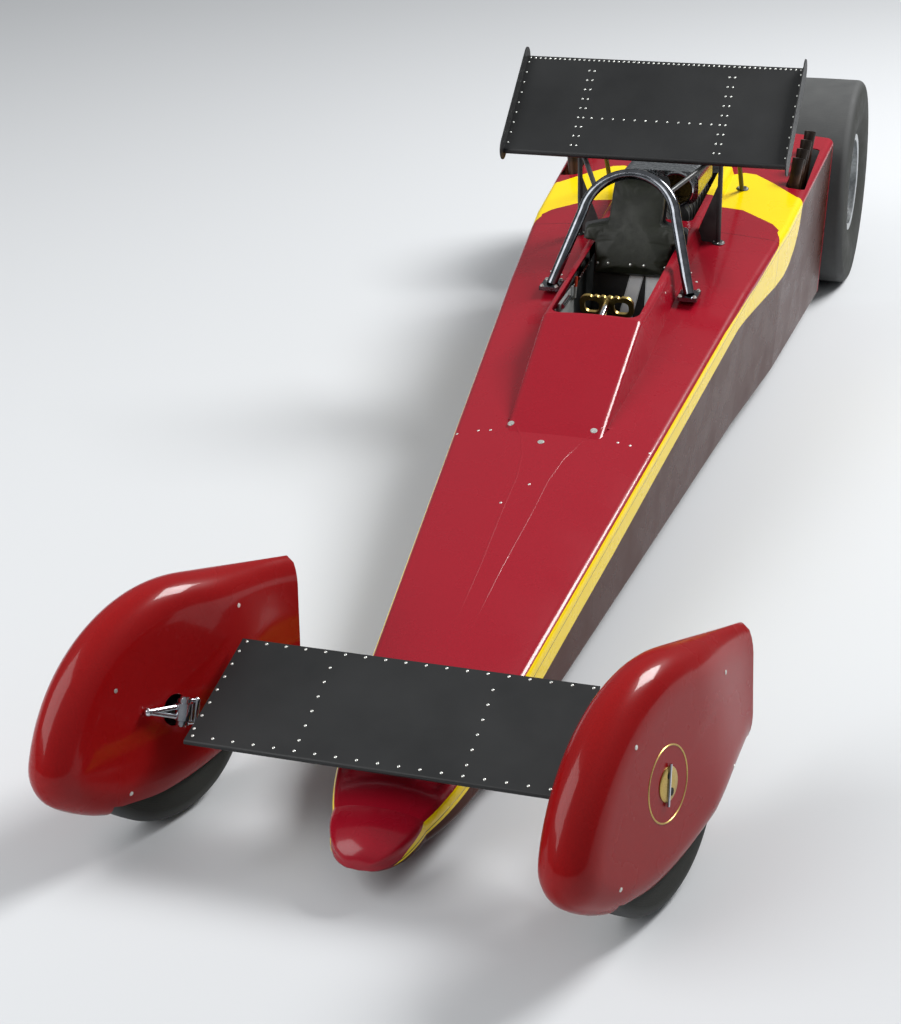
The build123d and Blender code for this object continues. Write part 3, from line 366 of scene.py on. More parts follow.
def head_tree(name, layers):
    """Geometry Nodes that put a head on every vertex, turned to its "facing" attribute.
    A layer is its sides (0 for a dome), and its radius and height as shares of the head's."""
    nodes = bpy.data.node_groups.new(name, "GeometryNodeTree")
    for socket, kind in (("Places", "NodeSocketGeometry"), ("Head radius", "NodeSocketFloat"),
                         ("Head height", "NodeSocketFloat"), ("Finish", "NodeSocketMaterial")):
        nodes.interface.new_socket(socket, in_out="INPUT", socket_type=kind)
    nodes.interface.new_socket("Heads", in_out="OUTPUT", socket_type="NodeSocketGeometry")
    given = add(nodes, "NodeGroupInput").outputs
    joined = add(nodes, "GeometryNodeJoinGeometry")
    for sides, wide, tall in layers:
        if sides:
            layer = add(nodes, "GeometryNodeMeshCylinder",
                        {"Vertices": sides, "Radius": wide, "Depth": 2 * tall})
        else:
            ball = add(nodes, "GeometryNodeMeshUVSphere", {"Segments": 12, "Rings": 8, "Radius": 1.0})
            layer = add(nodes, "GeometryNodeTransform", {"Geometry": ball, "Scale": (wide, wide, tall)})
        feed(joined, {0: layer})
    size = add(nodes, "ShaderNodeCombineXYZ", {0: given["Head radius"], 1: given["Head radius"],
                                               2: given["Head height"]})
    facing = add(nodes, "GeometryNodeInputNamedAttribute", {"Name": "facing"}, data_type="FLOAT_VECTOR")
    turn = add(nodes, "FunctionNodeAlignRotationToVector", {"Vector": facing}, axis="Z")
    heads = add(nodes, "GeometryNodeInstanceOnPoints", {"Points": given["Places"], "Instance": joined,
                                                        "Rotation": turn, "Scale": size})
    real = add(nodes, "GeometryNodeRealizeInstances", {0: heads})
    painted = add(nodes, "GeometryNodeSetMaterial", {"Geometry": real, "Material": given["Finish"]})
    add(nodes, "NodeGroupOutput", {0: painted})
    return nodes


DOME_RIVET = head_tree("dome_rivets", ((0, 1.0, 1.0),))
HEX_BOLT = head_tree("hex_bolts", ((20, 1.0, 0.25), (6, 0.78, 1.0)))
QUICK_FASTENER = head_tree("quick_fasteners", ((24, 1.0, 0.4), (16, 0.62, 1.0)))


def grained(name, tones, roughness, scale, detail=3.0, metallic=1.0, relief=0.0):
    """A finish whose colour and roughness drift together with one noise at its real scale.
    Tones and roughness are pairs, and relief is the grain's height in metres."""
    made, tree, shader, spot = material(name)
    drift = add(tree, "ShaderNodeTexNoise", {"Vector": spot, "Scale": scale, "Detail": detail})
    share = add(tree, "ShaderNodeMapRange", {0: drift, 1: 0.3, 2: 0.7})
    tint = add(tree, "ShaderNodeMix", {0: share, 6: colour(tones[0]), 7: colour(tones[1])}, data_type="RGBA")
    rough = add(tree, "ShaderNodeMapRange", {0: share, 3: roughness[0], 4: roughness[1]})
    bump = add(tree, "ShaderNodeBump", {"Strength": 0.4, "Distance": relief, "Height": drift})
    feed(shader, {"Base Color": tint, "Roughness": rough, "Normal": bump, "Metallic": metallic})
    return made


# Bare zinc and aluminium heads catch the light as bright dots, a little scuffed by the driver's tools.
bright_heads = grained("zinc_plated_fastener_heads", ("#C9CCC8", "#EDEEE8"), (0.28, 0.5), 400.0, metallic=0.85)


def fix_heads(name, nodes, rows, radius, height, body="chassis"):
    """One piece with a bright head at each (place, facing) row."""
    mesh = bpy.data.meshes.new(name + "_places")
    mesh.from_pydata([tuple(place) for place, _ in rows], [], [])
    facing = mesh.attributes.new("facing", "FLOAT_VECTOR", "POINT")
    facing.data.foreach_set("vector", [c for _, direction in rows for c in direction])
    holder = put(name + "_places", mesh)
    modifier = holder.modifiers.new("heads", "NODES")
    modifier.node_group = nodes
    sockets = {item.name: item.identifier for item in nodes.interface.items_tree if item.in_out == "INPUT"}
    for socket, value in (("Head radius", radius), ("Head height", height), ("Finish", bright_heads)):
        modifier[sockets[socket]] = value
    heads = baked(holder)
    bpy.data.objects.remove(holder)
    return keep(name, heads, bright_heads, body)


fix_heads("deck_quick_fasteners", QUICK_FASTENER, [on_skin(x, y) for x, y in DECK_FASTENERS], 0.011, 0.002)
fix_heads("deck_screws", DOME_RIVET, [on_skin(x, y) for x, y in DECK_SCREWS], 0.0045, 0.0018)


# Nose tip
# A moulded tip is let over the end of the nose and rounds it off like a bullet.
TIP_FROM, TIP_LENGTH, NOSE_END = -2.44, 0.158, -2.552
TIP_MIDDLE_Z, TIP_DROOP = 0.123, 0.022
TIP_SIDES, TIP_STEPS, TIP_LAP = 72, 20, 0.0004
# How full its outline is, how much it narrows and how much deeper it gets towards its point
TIP_FULLNESS, TIP_TAPER, TIP_DEPTH = 0.75, 0.20, 0.40
nose_surface = surface_of(frame["nodes"]["nose_cone"].data)


def nose_reach(middle, spoke):
    """Distance from the nose's middle out to its surface."""
    place, _, _, _ = nose_surface.ray_cast(middle + spoke, -spoke)
    return (place - middle).length + TIP_LAP


spokes = [Vector((math.cos(turn), 0, math.sin(turn))) for turn in
          (2 * math.pi * i / TIP_SIDES for i in range(TIP_SIDES))]
first_reach = [nose_reach(Vector((0, TIP_FROM, TIP_MIDDLE_Z)), spoke) for spoke in spokes]
form = bmesh.new()
rings = []
for step in range(TIP_STEPS):
    bend = math.pi / 2 * step / TIP_STEPS
    middle = Vector((0, TIP_FROM - TIP_LENGTH * math.sin(bend),
                     TIP_MIDDLE_Z - TIP_DROOP * (1 - math.cos(bend))))
    narrowing = math.cos(bend) ** TIP_FULLNESS * (1 - TIP_TAPER * math.sin(bend))
    ring = []
    for spoke, first in zip(spokes, first_reach):
        reach = first * narrowing * (1 + TIP_DEPTH * abs(spoke.z) * math.sin(bend))
        if middle.y > NOSE_END:
            reach = max(reach, nose_reach(middle, spoke))
        ring.append(form.verts.new(middle + spoke * reach))
    rings.append(ring)
point = form.verts.new((0, TIP_FROM - TIP_LENGTH, TIP_MIDDLE_Z - TIP_DROOP))
join_rings(form, rings + [[point]])
form.faces.new(rings[0])
keep("moulded_nose_tip", mesh_of("moulded_nose_tip", form), lacquer)


# Front wheel pods
# Each front wheel is closed in by a pod laid up in two halves, sprayed in the same candy red and lacquered.
# Fasteners let a side come off, and the outer face carries the hub's trim ring and cap.
# The kingpin leans back by the caster, and the parked wheels are turned right by these angles.
CASTER = math.radians(25)
PARKED_TURN = {"left": math.radians(18), "right": math.radians(22)}
# The moulded shell is thickest round the wheel, rounds over to its outline and thins to the cut tail.
POD_HALF_W, EDGE_ROUNDING, SHELL_WALL, OUTLINE_STEPS = 0.076, 0.085, 0.004, 180
POD_MIDDLE = Vector((0.06, 0.03))
TAIL_LOW, TAIL_HIGH, TAIL_REACH = Vector((0.503, -0.135)), Vector((0.580, 0.176)), 0.006
TAPER_FROM, TAPER_TO, TAIL_HALF_W = 0.20, 0.58, 0.034
INSET_SHARES = (0.0, 0.004, 0.012, 0.03, 0.06, 0.10, 0.15, 0.21, 0.28, 0.36, 0.46, 0.60, 0.80)
# The mouth lets the tyre out below, and the hole lets the spindle in from the car's side.
MOUTH_MIDDLE, MOUTH_SIZE = (0, 0, -0.25), (0.12, 0.504, 0.2, 1)
SPINDLE_HOLE_FROM, SPINDLE_HOLE_TO, SPINDLE_HOLE_R = (-0.10, 0, 0), (-0.04, 0, 0), 0.042
# Side of the pod, then the place in its side view
POD_FASTENERS = ((-1, -0.20, -0.14), (-1, -0.17, 0.14), (-1, 0.25, -0.10), (-1, 0.30, 0.16),
                 (1, -0.26, -0.10), (1, 0.36, -0.12), (1, 0.36, 0.15), (1, -0.12, 0.20))
TRIM_RING_R, TRIM_RING_W, HUB_CAP_R, HUB_RISE = 0.098, 0.006, 0.044, 0.035
HOLE_SHADE_R, HOLE_SHADE_RISE, PULL_BAR_HALF, PULL_BAR_R = 0.010, 0.0052, 0.052, 0.004

pod_paint, tree, shader, spot = material("lacquered_candy_pod_paint")
feed(shader, {"Base Color": candy_red(tree, spot, "#780A0C", "#9C1113")})
lacquer_over(shader, spot)
feed(shader, {"Specular IOR Level": 0.08})
finish(pod_paint, "wheel_pod_left", "wheel_pod_right")

# Gold anodised aluminium trim, finely brushed round its ring.
gold_trim = grained("gold_anodised_aluminium", ("#A98A45", "#D8BF78"), (0.26, 0.42), 700.0, relief=0.0001)

# Chrome is plated over polished steel, so only faint waves and specks break its reflections.
chrome = grained("chrome_plated_steel", ("#D9DBDF", "#BFC3CA"), (0.07, 0.2), 35.0, 4.0, relief=0.00005)

# Black discs on each hub cap, as painted shade where its two holes are.
hole_shade_black = grained("painted_hole_shade_black", ("#0A0A0A", "#151412"), (0.5, 0.75), 300.0, metallic=0.4)

kingpin_line = Vector((0, math.sin(CASTER), math.cos(CASTER)))
joint_places = {joint["name"]: joint for joint in frame["record"]["behaviour"]["joints"]}


def pod_place(side):
    """Matrix from a pod's own axes, about its wheel centre with +X outboard on the left, to where it parks."""
    centre = Vector(joint_places[f"front_wheel_{side}_spin"]["pos_m"])
    sign = 1 if side == "left" else -1
    turn = Matrix.Rotation(-PARKED_TURN[side], 4, kingpin_line)
    return Matrix.Translation(centre) @ turn @ Matrix.Diagonal((sign, 1, 1, 1))


def turned(form, profile, place, axis, sides):
    """Turn a profile of (along, radius) rows about an axis through a place; a zero radius closes it."""
    axis = Vector(axis).normalized()
    across_axis = axis.orthogonal().normalized()
    up_axis = axis.cross(across_axis)
    rings = []
    for distance, radius in profile:
        middle = Vector(place) + axis * distance
        turns = [2 * math.pi * i / sides for i in range(sides)] if radius else [0.0]
        rings.append([form.verts.new(middle + (across_axis * math.cos(a) + up_axis * math.sin(a)) * radius)
                      for a in turns])
    join_rings(form, rings)


def rod(start, end, radius, sides=14):
    """A closed round bar between two points, as the profile, place, axis and sides that turn it."""
    along_rod = Vector(end) - Vector(start)
    length = along_rod.length
    return ((0.0, 0.0), (0.0, radius), (length, radius), (length, 0.0)), start, along_rod, sides


def turned_piece(name, paint, body, *turnings, to_place=Matrix()):
    """One piece made of some turnings."""
    form = bmesh.new()
    for turning in turnings:
        turned(form, *turning)
    form.transform(to_place)
    return keep(name, mesh_of(name, form), paint, body)


def distance_to(place, start, end):
    """Distance in the side view from a place to a straight run."""
    run = end - start
    share = min(max((place - start).dot(run) / run.length_squared, 0.0), 1.0)
    return (place - start - run * share).length


def pod_outline(node, to_park):
    """Side view of a pod as points round its outline, and its edges without the cut tail."""
    back = to_park.inverted()
    local = [back @ v.co for v in frame["nodes"][node].data.vertices]
    flat = [Vector(place) for place in sorted({(round(co.y, 4), round(co.z, 4)) for co in local})]
    corners = [flat[i] for i in convex_hull_2d(flat)]
    edges = list(zip(corners, corners[1:] + corners[:1]))
    rounded = [(a, b) for a, b in edges if distance_to((a + b) / 2, TAIL_LOW, TAIL_HIGH) > TAIL_REACH]
    points = []
    for step in range(OUTLINE_STEPS):
        turn = 2 * math.pi * step / OUTLINE_STEPS
        reach = POD_MIDDLE + Vector((math.cos(turn), math.sin(turn))) * 2
        hits = (intersect_line_line_2d(POD_MIDDLE, reach, a, b) for a, b in edges)
        points.append(next(hit for hit in hits if hit))
    return points, rounded


def pod_half_width(place, rounded):
    """Half the pod's thickness at a place in its side view."""
    depth = min(distance_to(place, a, b) for a, b in rounded)
    share = min(max((place.x - TAPER_FROM) / (TAPER_TO - TAPER_FROM), 0.0), 1.0)
    full = POD_HALF_W + (TAIL_HALF_W - POD_HALF_W) * share * share * (3 - 2 * share)
    return max(full * math.sqrt(1 - (1 - min(depth / EDGE_ROUNDING, 1.0)) ** 2), 0.0005)


def pod_shell(side):
    """Hollow pod with its mouth under the tyre and its hole for the spindle, in its own axes."""
    outline, rounded = pod_outline(f"wheel_pod_{side}", pod_place(side))
    form = bmesh.new()
    rims = []
    for sign in (-1, 1):
        rings = []
        for share in INSET_SHARES:
            places = [point + (POD_MIDDLE - point) * share for point in outline]
            rings.append([form.verts.new((sign * pod_half_width(p, rounded), p.x, p.y)) for p in places])
        centre = form.verts.new((sign * POD_HALF_W, *POD_MIDDLE))
        join_rings(form, rings + [[centre]])
        rims.append(rings[0])
    join_rings(form, rims)
    shell = put(f"pod_draft_{side}", mesh_of(f"pod_draft_{side}", form))
    wall = shell.modifiers.new("wall", "SOLIDIFY")
    wall.thickness = SHELL_WALL
    wall.offset = -1
    mouth = bmesh.new()
    mouth_at = Matrix.Translation(MOUTH_MIDDLE) @ Matrix.Diagonal(MOUTH_SIZE)
    bmesh.ops.create_cube(mouth, size=1.0, matrix=mouth_at)
    hole = bmesh.new()
    turned(hole, *rod(SPINDLE_HOLE_FROM, SPINDLE_HOLE_TO, SPINDLE_HOLE_R, 48))
    tools = [put(name, mesh_of(name, tool)) for name, tool in (("pod_mouth", mouth), ("pod_hole", hole))]
    for tool in tools:
        cut = shell.modifiers.new("cut", "BOOLEAN")
        cut.operation = "DIFFERENCE"
        cut.solver = "EXACT"
        cut.object = tool
    made = baked(shell)
    for draft in [shell] + tools:
        bpy.data.objects.remove(draft)
    return made


for side in ("left", "right"):
    body = f"front_corner_{side}"
    to_park = pod_place(side)
    shell_mesh = pod_shell(side)
    shell_surface = surface_of(shell_mesh)
    form = bmesh.new()
    form.from_mesh(shell_mesh)
    form.transform(to_park)
    pod = keep(f"moulded_pod_{side}", mesh_of(f"moulded_pod_{side}", form), pod_paint, body)
    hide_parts(f"wheel_pod_{side}")
    middle = Vector((POD_HALF_W, 0, HUB_RISE))
    out = Vector((1, 0, 0))
    ring_low = TRIM_RING_R - TRIM_RING_W
    trim_ring = ((-0.001, ring_low), (0.0014, ring_low + TRIM_RING_W * 0.3),
                 (0.0014, ring_low + TRIM_RING_W * 0.7), (-0.001, TRIM_RING_R), (-0.001, ring_low))
    hub_cap = ((-0.001, 0.0), (-0.001, HUB_CAP_R), (0.002, HUB_CAP_R), (0.004, HUB_CAP_R - 0.004),
               (0.0045, HUB_CAP_R * 0.5), (0.0045, 0.0))
    turned_piece(f"pod_hub_trim_{side}", gold_trim, body, (trim_ring, middle, out, 72),
                 (hub_cap, middle, out, 48), to_place=to_park)
    # Two black discs stand on the cap as painted shade for its holes.
    hole_shades = [middle + Vector((0, 0.004, z)) for z in (-0.022, 0.022)]
    turned_piece(f"pod_hub_cap_hole_shades_{side}", hole_shade_black, body,
                 *(rod(shade_at, shade_at + out * HOLE_SHADE_RISE, HOLE_SHADE_R, 20) for shade_at in hole_shades), to_place=to_park)
    bar_middle = middle + Vector((0.006, -0.004, 0))
    half_bar = Vector((0, 0.35, 1)).normalized() * PULL_BAR_HALF
    turned_piece(f"pod_hub_pull_bar_{side}", chrome, body,
                 rod(bar_middle - half_bar, bar_middle + half_bar, PULL_BAR_R, 12), to_place=to_park)
    fasteners = []
    for sign, y, z in POD_FASTENERS:
        place, normal, _, _ = shell_surface.ray_cast(Vector((sign, y, z)), Vector((-sign, 0, 0)))
        outward = normal if normal.x * sign > 0 else -normal
        fasteners.append((to_park @ place, to_park.to_3x3() @ outward))
    fix_heads(f"pod_fasteners_{side}", QUICK_FASTENER, fasteners, 0.006, 0.0014, body)


# Wings
# Both wings are thin sheet over ribs, riveted along their edges and rib lines and sprayed satin black.
# The front one stands on two plates on the nose, and the rear one has slim end plates and tube struts.
# Rear edge, chord, pitch and thickness of each wing, with half its span at the rear and the front edge
FRONT_WING = {"y": -2.104, "z": 0.408, "chord": 0.368, "pitch": math.radians(18), "thick": 0.026,
              "rear": 0.486, "front": 0.514}
REAR_WING = {"y": 0.944, "z": 1.271, "chord": 0.450, "pitch": math.radians(36.5), "thick": 0.042,
             "rear": 0.520, "front": 0.520}
EDGE_MARGIN, WING_RIVET_PITCH, REAR_RIVET_PITCH = 0.009, 0.056, 0.0187
FRONT_END_MARGIN, REAR_END_MARGIN, FRONT_LEADING_ROW, FRONT_RIB_X = 0.016, 0.012, 0.345, 0.22
STRUT_X, FRONT_STRUT_Y, REAR_STRUT_Y = 0.263, 0.725, 1.245
RIB_START, RIB_PITCH, RIB_RIVETS, CROSS_RIVETS = 0.057, 0.0437, 9, 12
FOOT_R, FOOT_RISE, FOOT_BOLT_CIRCLE = 0.024, 0.005, 0.016

satin_black, tree, shader, spot = material("satin_black_sprayed_sheet")
patches = add(tree, "ShaderNodeTexNoise", {"Vector": spot, "Scale": 3.0, "Detail": 5.0, "Roughness": 0.6})
grit = add(tree, "ShaderNodeTexNoise", {"Vector": spot, "Scale": 650.0, "Detail": 2.0})
tint = add(tree, "ShaderNodeMix", {0: patches, 6: colour("#0E0F10"), 7: colour("#1B1D1E")}, data_type="RGBA")
rough = add(tree, "ShaderNodeMapRange", {0: patches, 1: 0.3, 2: 0.7, 3: 0.42, 4: 0.58})
ripple = add(tree, "ShaderNodeTexNoise", {"Vector": spot, "Scale": 4.5, "Detail": 1.0})
relief = add(tree, "ShaderNodeMath", {0: ripple, 1: 8.0, 2: grit}, operation="MULTIPLY_ADD")
bump = add(tree, "ShaderNodeBump", {"Strength": 0.12, "Distance": 0.0012, "Height": relief})
feed(shader, {"Base Color": tint, "Roughness": rough, "Normal": bump})
finish(satin_black, "front_wing", "front_wing_pylons", "rear_wing", "rear_wing_endplates")


def half_span(wing, t):
    """Half a wing's span, a distance t ahead of its rear edge."""
    return wing["rear"] + (wing["front"] - wing["rear"]) * t / wing["chord"]


def on_wing(wing, x, t):
    """Place and outward direction on a wing's hollow top, a distance t ahead of its rear edge."""
    pitch, share = wing["pitch"], t / wing["chord"]
    sag = -0.12 * wing["thick"] * 4 * share * (1 - share)
    direction = Vector((0, -math.sin(pitch), math.cos(pitch)))
    place = Vector((x, wing["y"] - math.cos(pitch) * t, wing["z"] - math.sin(pitch) * t))
    return place + direction * sag, direction


def span_row(wing, t, margin, pitch):
    """Rivets across the span, a margin in from both ends."""
    half = half_span(wing, t) - margin
    count = round(2 * half / pitch)
    return [on_wing(wing, -half + 2 * half * i / count, t) for i in range(count + 1)]


front_rivets = [rivet for t in (EDGE_MARGIN, FRONT_LEADING_ROW)
                for rivet in span_row(FRONT_WING, t, FRONT_END_MARGIN, WING_RIVET_PITCH)]
for side in (-1, 1):
    front_rivets += [on_wing(FRONT_WING, side * FRONT_RIB_X, 0.059 + 0.05 * i) for i in range(6)]
    for t in (0.045 + 0.046 * i for i in range(7)):
        front_rivets.append(on_wing(FRONT_WING, side * (half_span(FRONT_WING, t) - EDGE_MARGIN), t))
fix_heads("front_wing_rivets", DOME_RIVET, front_rivets, 0.0042, 0.0022)

rear_rivets = span_row(REAR_WING, EDGE_MARGIN, REAR_END_MARGIN, REAR_RIVET_PITCH)
rear_rivets += [on_wing(REAR_WING, -0.222 + 0.0404 * i, RIB_START + 5 * RIB_PITCH) for i in range(CROSS_RIVETS)]
for side in (-1, 1):
    for i in range(RIB_RIVETS):
        t = RIB_START + RIB_PITCH * i
        rear_rivets += [on_wing(REAR_WING, side * STRUT_X + off, t) for off in (-0.010, 0.010)]
        rear_rivets.append(on_wing(REAR_WING, side * (REAR_WING["rear"] - EDGE_MARGIN), 0.03 + 0.0475 * i))
fix_heads("rear_wing_rivets", DOME_RIVET, rear_rivets, 0.0040, 0.0021)

# Seamless tube sprayed satin black, a little glossier than the sheet.
satin_tube = grained("satin_black_sprayed_tube", ("#202224", "#3A3B39"), (0.33, 0.5), 18.0, 4.0, 0.0, 0.0002)
finish(satin_tube, "rear_wing_struts", "chassis_frame", "rear_axle_housing")

# Each upright has a bolted foot on the deck.
foot_profile = ((-0.001, 0.0), (-0.001, FOOT_R), (0.003, FOOT_R), (FOOT_RISE, FOOT_R - 0.003), (FOOT_RISE, 0.0))
feet, foot_bolts = [], []
for x in (-STRUT_X, STRUT_X):
    for y in (FRONT_STRUT_Y, REAR_STRUT_Y):
        place, normal = on_skin(x, y)
        feet.append((foot_profile, place, normal, 32))
        along_deck = normal.cross(Vector((1, 0, 0))).normalized() * FOOT_BOLT_CIRCLE
        sideways = along_deck.cross(normal)
        for off in (along_deck, -along_deck, sideways, -sideways):
            foot_bolts.append((place + off + normal * FOOT_RISE, normal))
turned_piece("wing_strut_feet", satin_tube, "chassis", *feet)
fix_heads("wing_strut_foot_screws", DOME_RIVET, foot_bolts, 0.0036, 0.0022)


# Tyres
# Slick drag tyres are plain moulded rubber: wide rear ones with a wrinkle-wall bulge and narrow front ones.
# Scrubbed tread is grey with road dust and finely torn across, and the walls keep fine moulding rings.
REAR_TYRE_R, FRONT_TYRE_R, MOULD_RING_PITCH = 0.441, 0.300, 0.006
# Depth below the tread at which the wall ends and the tread is whole
WALL_DEPTH, TREAD_DEPTH = 0.032, 0.006


def wave(tree, value, pitch):
    """A sine along a value, with one turn every pitch, in metres."""
    turns = add(tree, "ShaderNodeMath", {0: value, 1: 2 * math.pi / pitch}, operation="MULTIPLY")
    return add(tree, "ShaderNodeMath", {0: turns}, operation="SINE")


def rubber_for(name, axis, centre, tyre_r):
    """Tyre rubber with rings and scrubbing worked out about that wheel's own axle."""
    made, tree, shader, spot = material(name)
    axis = Vector(axis).normalized()
    offset = add(tree, "ShaderNodeVectorMath", {0: spot, 1: Vector(centre)}, operation="SUBTRACT")
    lateral = add(tree, "ShaderNodeVectorMath", {0: offset, 1: axis}, operation="DOT_PRODUCT")
    along_axle = add(tree, "ShaderNodeVectorMath", {0: axis, "Scale": lateral}, operation="SCALE")
    radial = add(tree, "ShaderNodeVectorMath", {0: offset, 1: along_axle}, operation="SUBTRACT")
    radius = add(tree, "ShaderNodeVectorMath", {0: radial}, operation="LENGTH")
    on_tread = add(tree, "ShaderNodeMapRange", {0: radius, 1: tyre_r - WALL_DEPTH, 2: tyre_r - TREAD_DEPTH})
    on_wall = add(tree, "ShaderNodeMath", {0: 1.0, 1: on_tread}, operation="SUBTRACT")
    dust = add(tree, "ShaderNodeTexNoise", {"Vector": spot, "Scale": 14.0, "Detail": 6.0, "Roughness": 0.65})
    wall = add(tree, "ShaderNodeMix", {0: dust, 6: colour("#1C1D1B"), 7: colour("#32332E")}, data_type="RGBA")
    tread = add(tree, "ShaderNodeMix", {0: dust, 6: colour("#38393A"), 7: colour("#565756")}, data_type="RGBA")
    shown = add(tree, "ShaderNodeMix", {0: on_tread, 6: wall, 7: tread}, data_type="RGBA")
    ridges = wave(tree, radius, MOULD_RING_PITCH)
    ring_relief = add(tree, "ShaderNodeMath", {0: ridges, 1: on_wall}, operation="MULTIPLY")
    # Scrubbed tread tears in fine lines across it
    stretched = add(tree, "ShaderNodeVectorMath", {0: radial, "Scale": 12.0}, operation="SCALE")
    torn_at = add(tree, "ShaderNodeVectorMath", {0: stretched, 1: offset}, operation="ADD")
    torn = add(tree, "ShaderNodeTexNoise", {"Vector": torn_at, "Scale": 26.0, "Detail": 5.0})
    torn_relief = add(tree, "ShaderNodeMath", {0: torn, 1: on_tread}, operation="MULTIPLY")
    relief = add(tree, "ShaderNodeMath", {0: ring_relief, 1: 0.25, 2: torn_relief}, operation="MULTIPLY_ADD")
    bump = add(tree, "ShaderNodeBump", {"Strength": 0.5, "Distance": 0.0012, "Height": relief})
    rough = add(tree, "ShaderNodeMapRange", {0: dust, 1: 0.3, 2: 0.7, 3: 0.62, 4: 0.85})
    feed(shader, {"Base Color": shown, "Normal": bump, "Roughness": rough, "Specular IOR Level": 0.35})
    return made


axle_place = Vector(joint_places["rear_axle_spin"]["pos_m"])
for side in ("left", "right"):
    hub = joint_places[f"front_wheel_{side}_spin"]
    finish(rubber_for(f"front_slick_rubber_{side}", hub["axis"], hub["pos_m"], FRONT_TYRE_R),
           f"front_tyre_{side}")
finish(rubber_for("rear_slick_rubber", (1, 0, 0), axle_place, REAR_TYRE_R), "rear_tyre_left", "rear_tyre_right")


# Wheels
# The rear wheels are spun aluminium rims on a bolted centre, and the front ones a light spun pair inside
# the pods. A ring of nuts clamps each centre, and a cap closes the hub.
REAR_HUB_X, REAR_DISC_OUT, BEAD_OUT, REAR_RIM_R = 0.398, 0.025, 0.163, 0.205
# Radius of each ring of nuts and how many it has
NUT_CIRCLES = ((0.057, 5), (0.165, 16))
# Distance out from the bead and radius over the rim, then distance out from the hub and radius
BEAD_PROFILE = ((-0.004, -0.022), (0.004, -0.022), (0.008, -0.012), (0.006, 0.004), (-0.004, 0.004),
                (-0.004, -0.022))
CAP_PROFILE = ((0.058, 0.0), (0.058, 0.034), (0.070, 0.034), (0.080, 0.026), (0.084, 0.012), (0.084, 0.0))

spun_aluminium = grained("spun_satin_aluminium", ("#A9ACAE", "#C6C8C9"), (0.28, 0.46), 90.0, 4.0, relief=0.0002)
finish(spun_aluminium, "rear_rim_left", "rear_rim_right", "front_rim_left", "front_rim_right")

for side, sign in (("left", 1), ("right", -1)):
    out = Vector((sign, 0, 0))
    nuts = []
    for circle_r, count in NUT_CIRCLES:
        for turn in (2 * math.pi * i / count for i in range(count)):
            spoke = Vector((0, math.cos(turn), math.sin(turn)))
            nuts.append((axle_place + out * (REAR_HUB_X + REAR_DISC_OUT) + spoke * circle_r, out))
    fix_heads(f"rear_wheel_nuts_{side}", HEX_BOLT, nuts, 0.011, 0.012, "rear_axle")
    bead = tuple((REAR_HUB_X + BEAD_OUT + along, REAR_RIM_R + over) for along, over in BEAD_PROFILE)
    cap = tuple((REAR_HUB_X + along, radius) for along, radius in CAP_PROFILE)
    middle = Vector((0, axle_place.y, axle_place.z))
    turned_piece(f"rear_wheel_bead_ring_and_cap_{side}", spun_aluminium, "rear_axle",
                 (bead, middle, out, 96), (cap, middle, out, 40))


# Roll hoop
# The hoop is bent from one chromed tube, its colour darkened as a painted dark reflection. Its feet are bolted
# down, and screws hold the skin round them.
HOOP_SCREWS = ((0.200, 0.373), (0.214, 0.451), (0.209, 0.309), (0.247, 0.388), (0.240, 0.300),
               (-0.288, 0.391), (-0.243, 0.363), (-0.276, 0.300), (-0.235, 0.330))
HOOP_FOOT_X, HOOP_FOOT_Y, FOOT_TOP_Z, BOLT_OFF_X, BOLT_OFF_Y = 0.249, 0.243, 0.626, 0.026, 0.036

# Chrome with a darker base colour: a painted reflection of dark surroundings.
chrome_darkened_as_reflection = grained("chrome_tube_with_painted_dark_reflection", ("#5E6166", "#7D8085"), (0.08, 0.2), 35.0, 4.0, relief=0.00005)
finish(chrome_darkened_as_reflection, "roll_hoop")
fix_heads("hoop_screws", DOME_RIVET, [on_skin(x, y) for x, y in HOOP_SCREWS], 0.0052, 0.0026)
foot_bolts = [(Vector((side * HOOP_FOOT_X + x, HOOP_FOOT_Y + y, FOOT_TOP_Z)), Vector((0, 0, 1)))
              for side in (-1, 1) for y in (-BOLT_OFF_Y, BOLT_OFF_Y) for x in (-BOLT_OFF_X, BOLT_OFF_X)]
fix_heads("hoop_foot_bolts", HEX_BOLT, foot_bolts, 0.0075, 0.0062)


# Cockpit
# The driver sits in a folded sheet tub ahead of a bulkhead. Dash, side console and gold hand wheel are
# bolted in, and the gauges are blank.
TUB_WALL_X, TUB_RIVET_Z, TUB_RIVETS_FROM, TUB_RIVET_PITCH, TUB_RIVETS = 0.1688, (0.622, 0.40), -0.15, 0.045, 18
DASH_FACE_Y, GAUGE_X, GAUGE_Z, GAUGE_R = -0.2195, 0.098, 0.548, 0.036
MARKS, FIRST_MARK_DEG, MARK_STEP_DEG, MARK_FROM, MARK_TO = 11, -40, 26, 0.74, 0.9
DASH_SCREWS = ((0.155, 0.585), (0.155, 0.485), (0.045, 0.585), (0.045, 0.485))
CONSOLE_X = -0.163
CONSOLE_BOLTS = ((0.040, 0.545), (0.110, 0.545), (0.165, 0.545), (0.040, 0.590), (0.165, 0.615))
# Where the side console starts, where the cylinder on it ends, and where the lever's grip starts
CONSOLE_FROM_Y, CYLINDER_FROM_X, CYLINDER_TO_Y, GRIP_FROM_Y, GRIP_FROM_Z = -0.1, -0.1625, 0.16, 0.17, 0.634

tub_sheet = grained("alodined_grey_aluminium_sheet", ("#4A4D4E", "#6B6E6D"), (0.4, 0.6), 9.0, 6.0,
                    relief=0.0004)
finish(tub_sheet, "cockpit_tub", "firewall")
finish(gold_trim, "steering_yoke")
finish(chrome, "steering_column")

